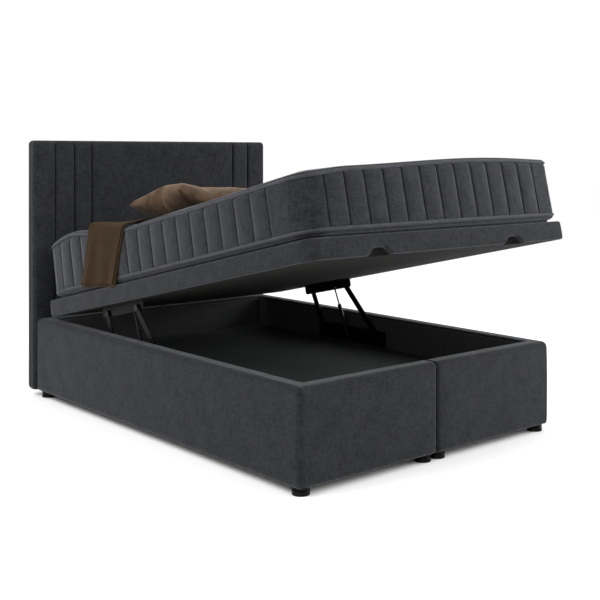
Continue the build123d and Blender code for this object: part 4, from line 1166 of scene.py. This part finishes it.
def buildThrow(look):
    side, lean = made["high"][0], radians(look["lean"])
    gap, count = look["layerGap"], look["columns"]
    # across the folded cloth: the outer layer, the fold at the head side, then the inner layer
    across = [(w, gap) for w in np.linspace(1, 0, count)]
    across += [
        (-look["foldBulge"] * sin(a), gap * (1 + cos(a)) / 2)
        for a in np.radians((30, 60, 90, 120, 150))
    ]
    across += [(w, 0) for w in np.linspace(0, 1 + look["under"] / look["width"], count)]
    columns = []
    for w, lift in across:
        drop = look["under"] * (1 - lift / gap)
        x, height, share = throwProfile(look["skin"] + lift, look, side, w, drop)
        wave = 0.5 - 0.5 * cos(2 * pi * look["foldCount"] * w + 0.5 * sin(5 * w))
        wave *= 0.75 + 0.25 * sin(7.3 * w + 1)
        hang = share ** 0.8
        along = look["start"] + look["width"] * w
        along = along + look["waver"] * np.sin(9 * w + 4 * share) * share
        columns.append(np.stack([
            x - look["folds"] * wave * hang,
            -along - height * sin(lean),
            height * cos(lean) + look["waver"] * wave * hang ** 3,
        ], -1))
    faces = gridFaces(len(columns), len(columns[0]), closeColumns=False)
    piece = makePiece("throwSheet", fromLid(columns), faces, "brushedTwill", closed=False)
    wall = piece.modifiers.new("Wall", "SOLIDIFY")
    wall.thickness, wall.offset = look["cloth"], 0
    applyModifiers(piece)
    settlePiece(piece, "lid", "throw")


buildThrow(throwLook)
print("throw made")


# stitches: short thread loops set along every seam line by one Geometry Nodes tree
stitchLook = {
    "tape": {"Pitch": 7 * mm, "Length": 5.0 * mm, "Thickness": 1.1 * mm, "Wander": 0.25, "Seed": 3},
    "channel": {"Pitch": 8 * mm, "Length": 5.5 * mm, "Thickness": 1.0 * mm, "Wander": 0.2, "Seed": 5},
    "tapeOffset": 7 * mm, "sunk": 0.2 * mm, "proud": 0.1 * mm,
}


def stitchTree():
    tree = bpy.data.node_groups.new("stitchRow", "GeometryNodeTree")
    for name, kind in (
        ("Lines", "Geometry"), ("Pitch", "Float"), ("Length", "Float"), ("Thickness", "Float"),
        ("Wander", "Float"), ("Seed", "Int"), ("Thread", "Material"),
    ):
        tree.interface.new_socket(name, in_out="INPUT", socket_type="NodeSocket" + kind)
    tree.interface.new_socket("Stitches", in_out="OUTPUT", socket_type="NodeSocketGeometry")
    given = tree.nodes.new("NodeGroupInput").outputs
    lines = addNode(tree, "GeometryNodeMeshToCurve", {"Mesh": given["Lines"]})
    marks = addNode(
        tree, "GeometryNodeResampleCurve", {"Curve": lines, "Length": given["Pitch"]}, mode="LENGTH"
    )
    loop = addNode(
        tree, "GeometryNodeMeshCylinder",
        {"Vertices": 5, "Side Segments": 2, "Radius": 0.5, "Depth": 1.0}, fill_type="TRIANGLE_FAN",
    )
    along = addNode(tree, "GeometryNodeInputTangent")
    turned = addNode(tree, "FunctionNodeAlignRotationToVector", {"Vector": along}, axis="Z")
    least = addNode(tree, "ShaderNodeMath", {0: 1.0, 1: given["Wander"]}, operation="SUBTRACT")
    stretch = addNode(
        tree, "FunctionNodeRandomValue", {2: least, 3: 1.0, "Seed": given["Seed"]}, out=1,
        data_type="FLOAT",
    )
    length = addNode(
        tree, "ShaderNodeMath", {0: given["Length"], 1: stretch}, operation="MULTIPLY"
    )
    size = addNode(
        tree, "ShaderNodeCombineXYZ", {0: given["Thickness"], 1: given["Thickness"], 2: length}
    )
    placed = addNode(
        tree, "GeometryNodeInstanceOnPoints",
        {"Points": marks, "Instance": loop, "Rotation": turned, "Scale": size},
    )
    solid = addNode(tree, "GeometryNodeRealizeInstances", {"Geometry": placed})
    finished = addNode(
        tree, "GeometryNodeSetMaterial", {"Geometry": solid, "Material": given["Thread"]}
    )
    addNode(tree, "NodeGroupOutput", {"Stitches": finished})
    return tree


rowTree = stitchTree()


def buildStitches(name, rows, look):
    # rows: the seam lines, each a list of points and whether it closes on itself
    points, edges = [], []
    for line, closed in rows:
        start = len(points)
        points += [tuple(point) for point in line]
        edges += [(start + count, start + count + 1) for count in range(len(line) - 1)]
        if closed:
            edges.append((start + len(line) - 1, start))
    mesh = bpy.data.meshes.new(name)
    mesh.from_pydata(points, edges, [])
    piece = bpy.data.objects.new(name, mesh)
    scene.collection.objects.link(piece)
    sewing = piece.modifiers.new("Sewing", "NODES")
    sewing.node_group = rowTree
    identifiers = {
        item.name: item.identifier for item in rowTree.interface.items_tree if item.in_out == "INPUT"
    }
    for key, value in {**look, "Thread": finishes["spunThread"]}.items():
        sewing[identifiers[key]] = value
    applyModifiers(piece)
    piece.data.polygons.foreach_set("use_smooth", [True] * len(piece.data.polygons))
    settlePiece(piece, "lid", None)


# one row on the mattress side of each tape, and one down the bottom of each channel
tapeRows = []
for height, side in zip(mattress["tapeHeights"], (1, -1)):
    rise = height + side * stitchLook["tapeOffset"]
    inset = borderInset(rise, mattress) - stitchLook["sunk"]
    tapeRows.append((fromLid(borderRing(inset, rise, rise)), True))
channelRows = [
    (line + lidTurn @ np.array([*way, 0]) * stitchLook["proud"], False)
    for line, way in made["channels"]
]
buildStitches("tapeStitches", tapeRows, stitchLook["tape"])
buildStitches("channelStitches", channelRows, stitchLook["channel"])
print("stitches made")


# floor: matt white paint, only to stand on
floorLook = {"reach": 30, "paint": 0.97}
reach = floorLook["reach"]
floor = makePiece(
    "floor", [(-reach, -reach, 0), (reach, -reach, 0), (reach, reach, 0), (-reach, reach, 0)],
    [(0, 1, 2, 3)], "pressedLining", closed=False,
)
paint, tree, place = newMaterial("paintedFloor")
shader = addNode(tree, "ShaderNodeBsdfDiffuse", {"Color": (*[floorLook["paint"]] * 3, 1)})
addNode(tree, "ShaderNodeOutputMaterial", {"Surface": shader})
floor.data.materials.clear()
floor.data.materials.append(paint)
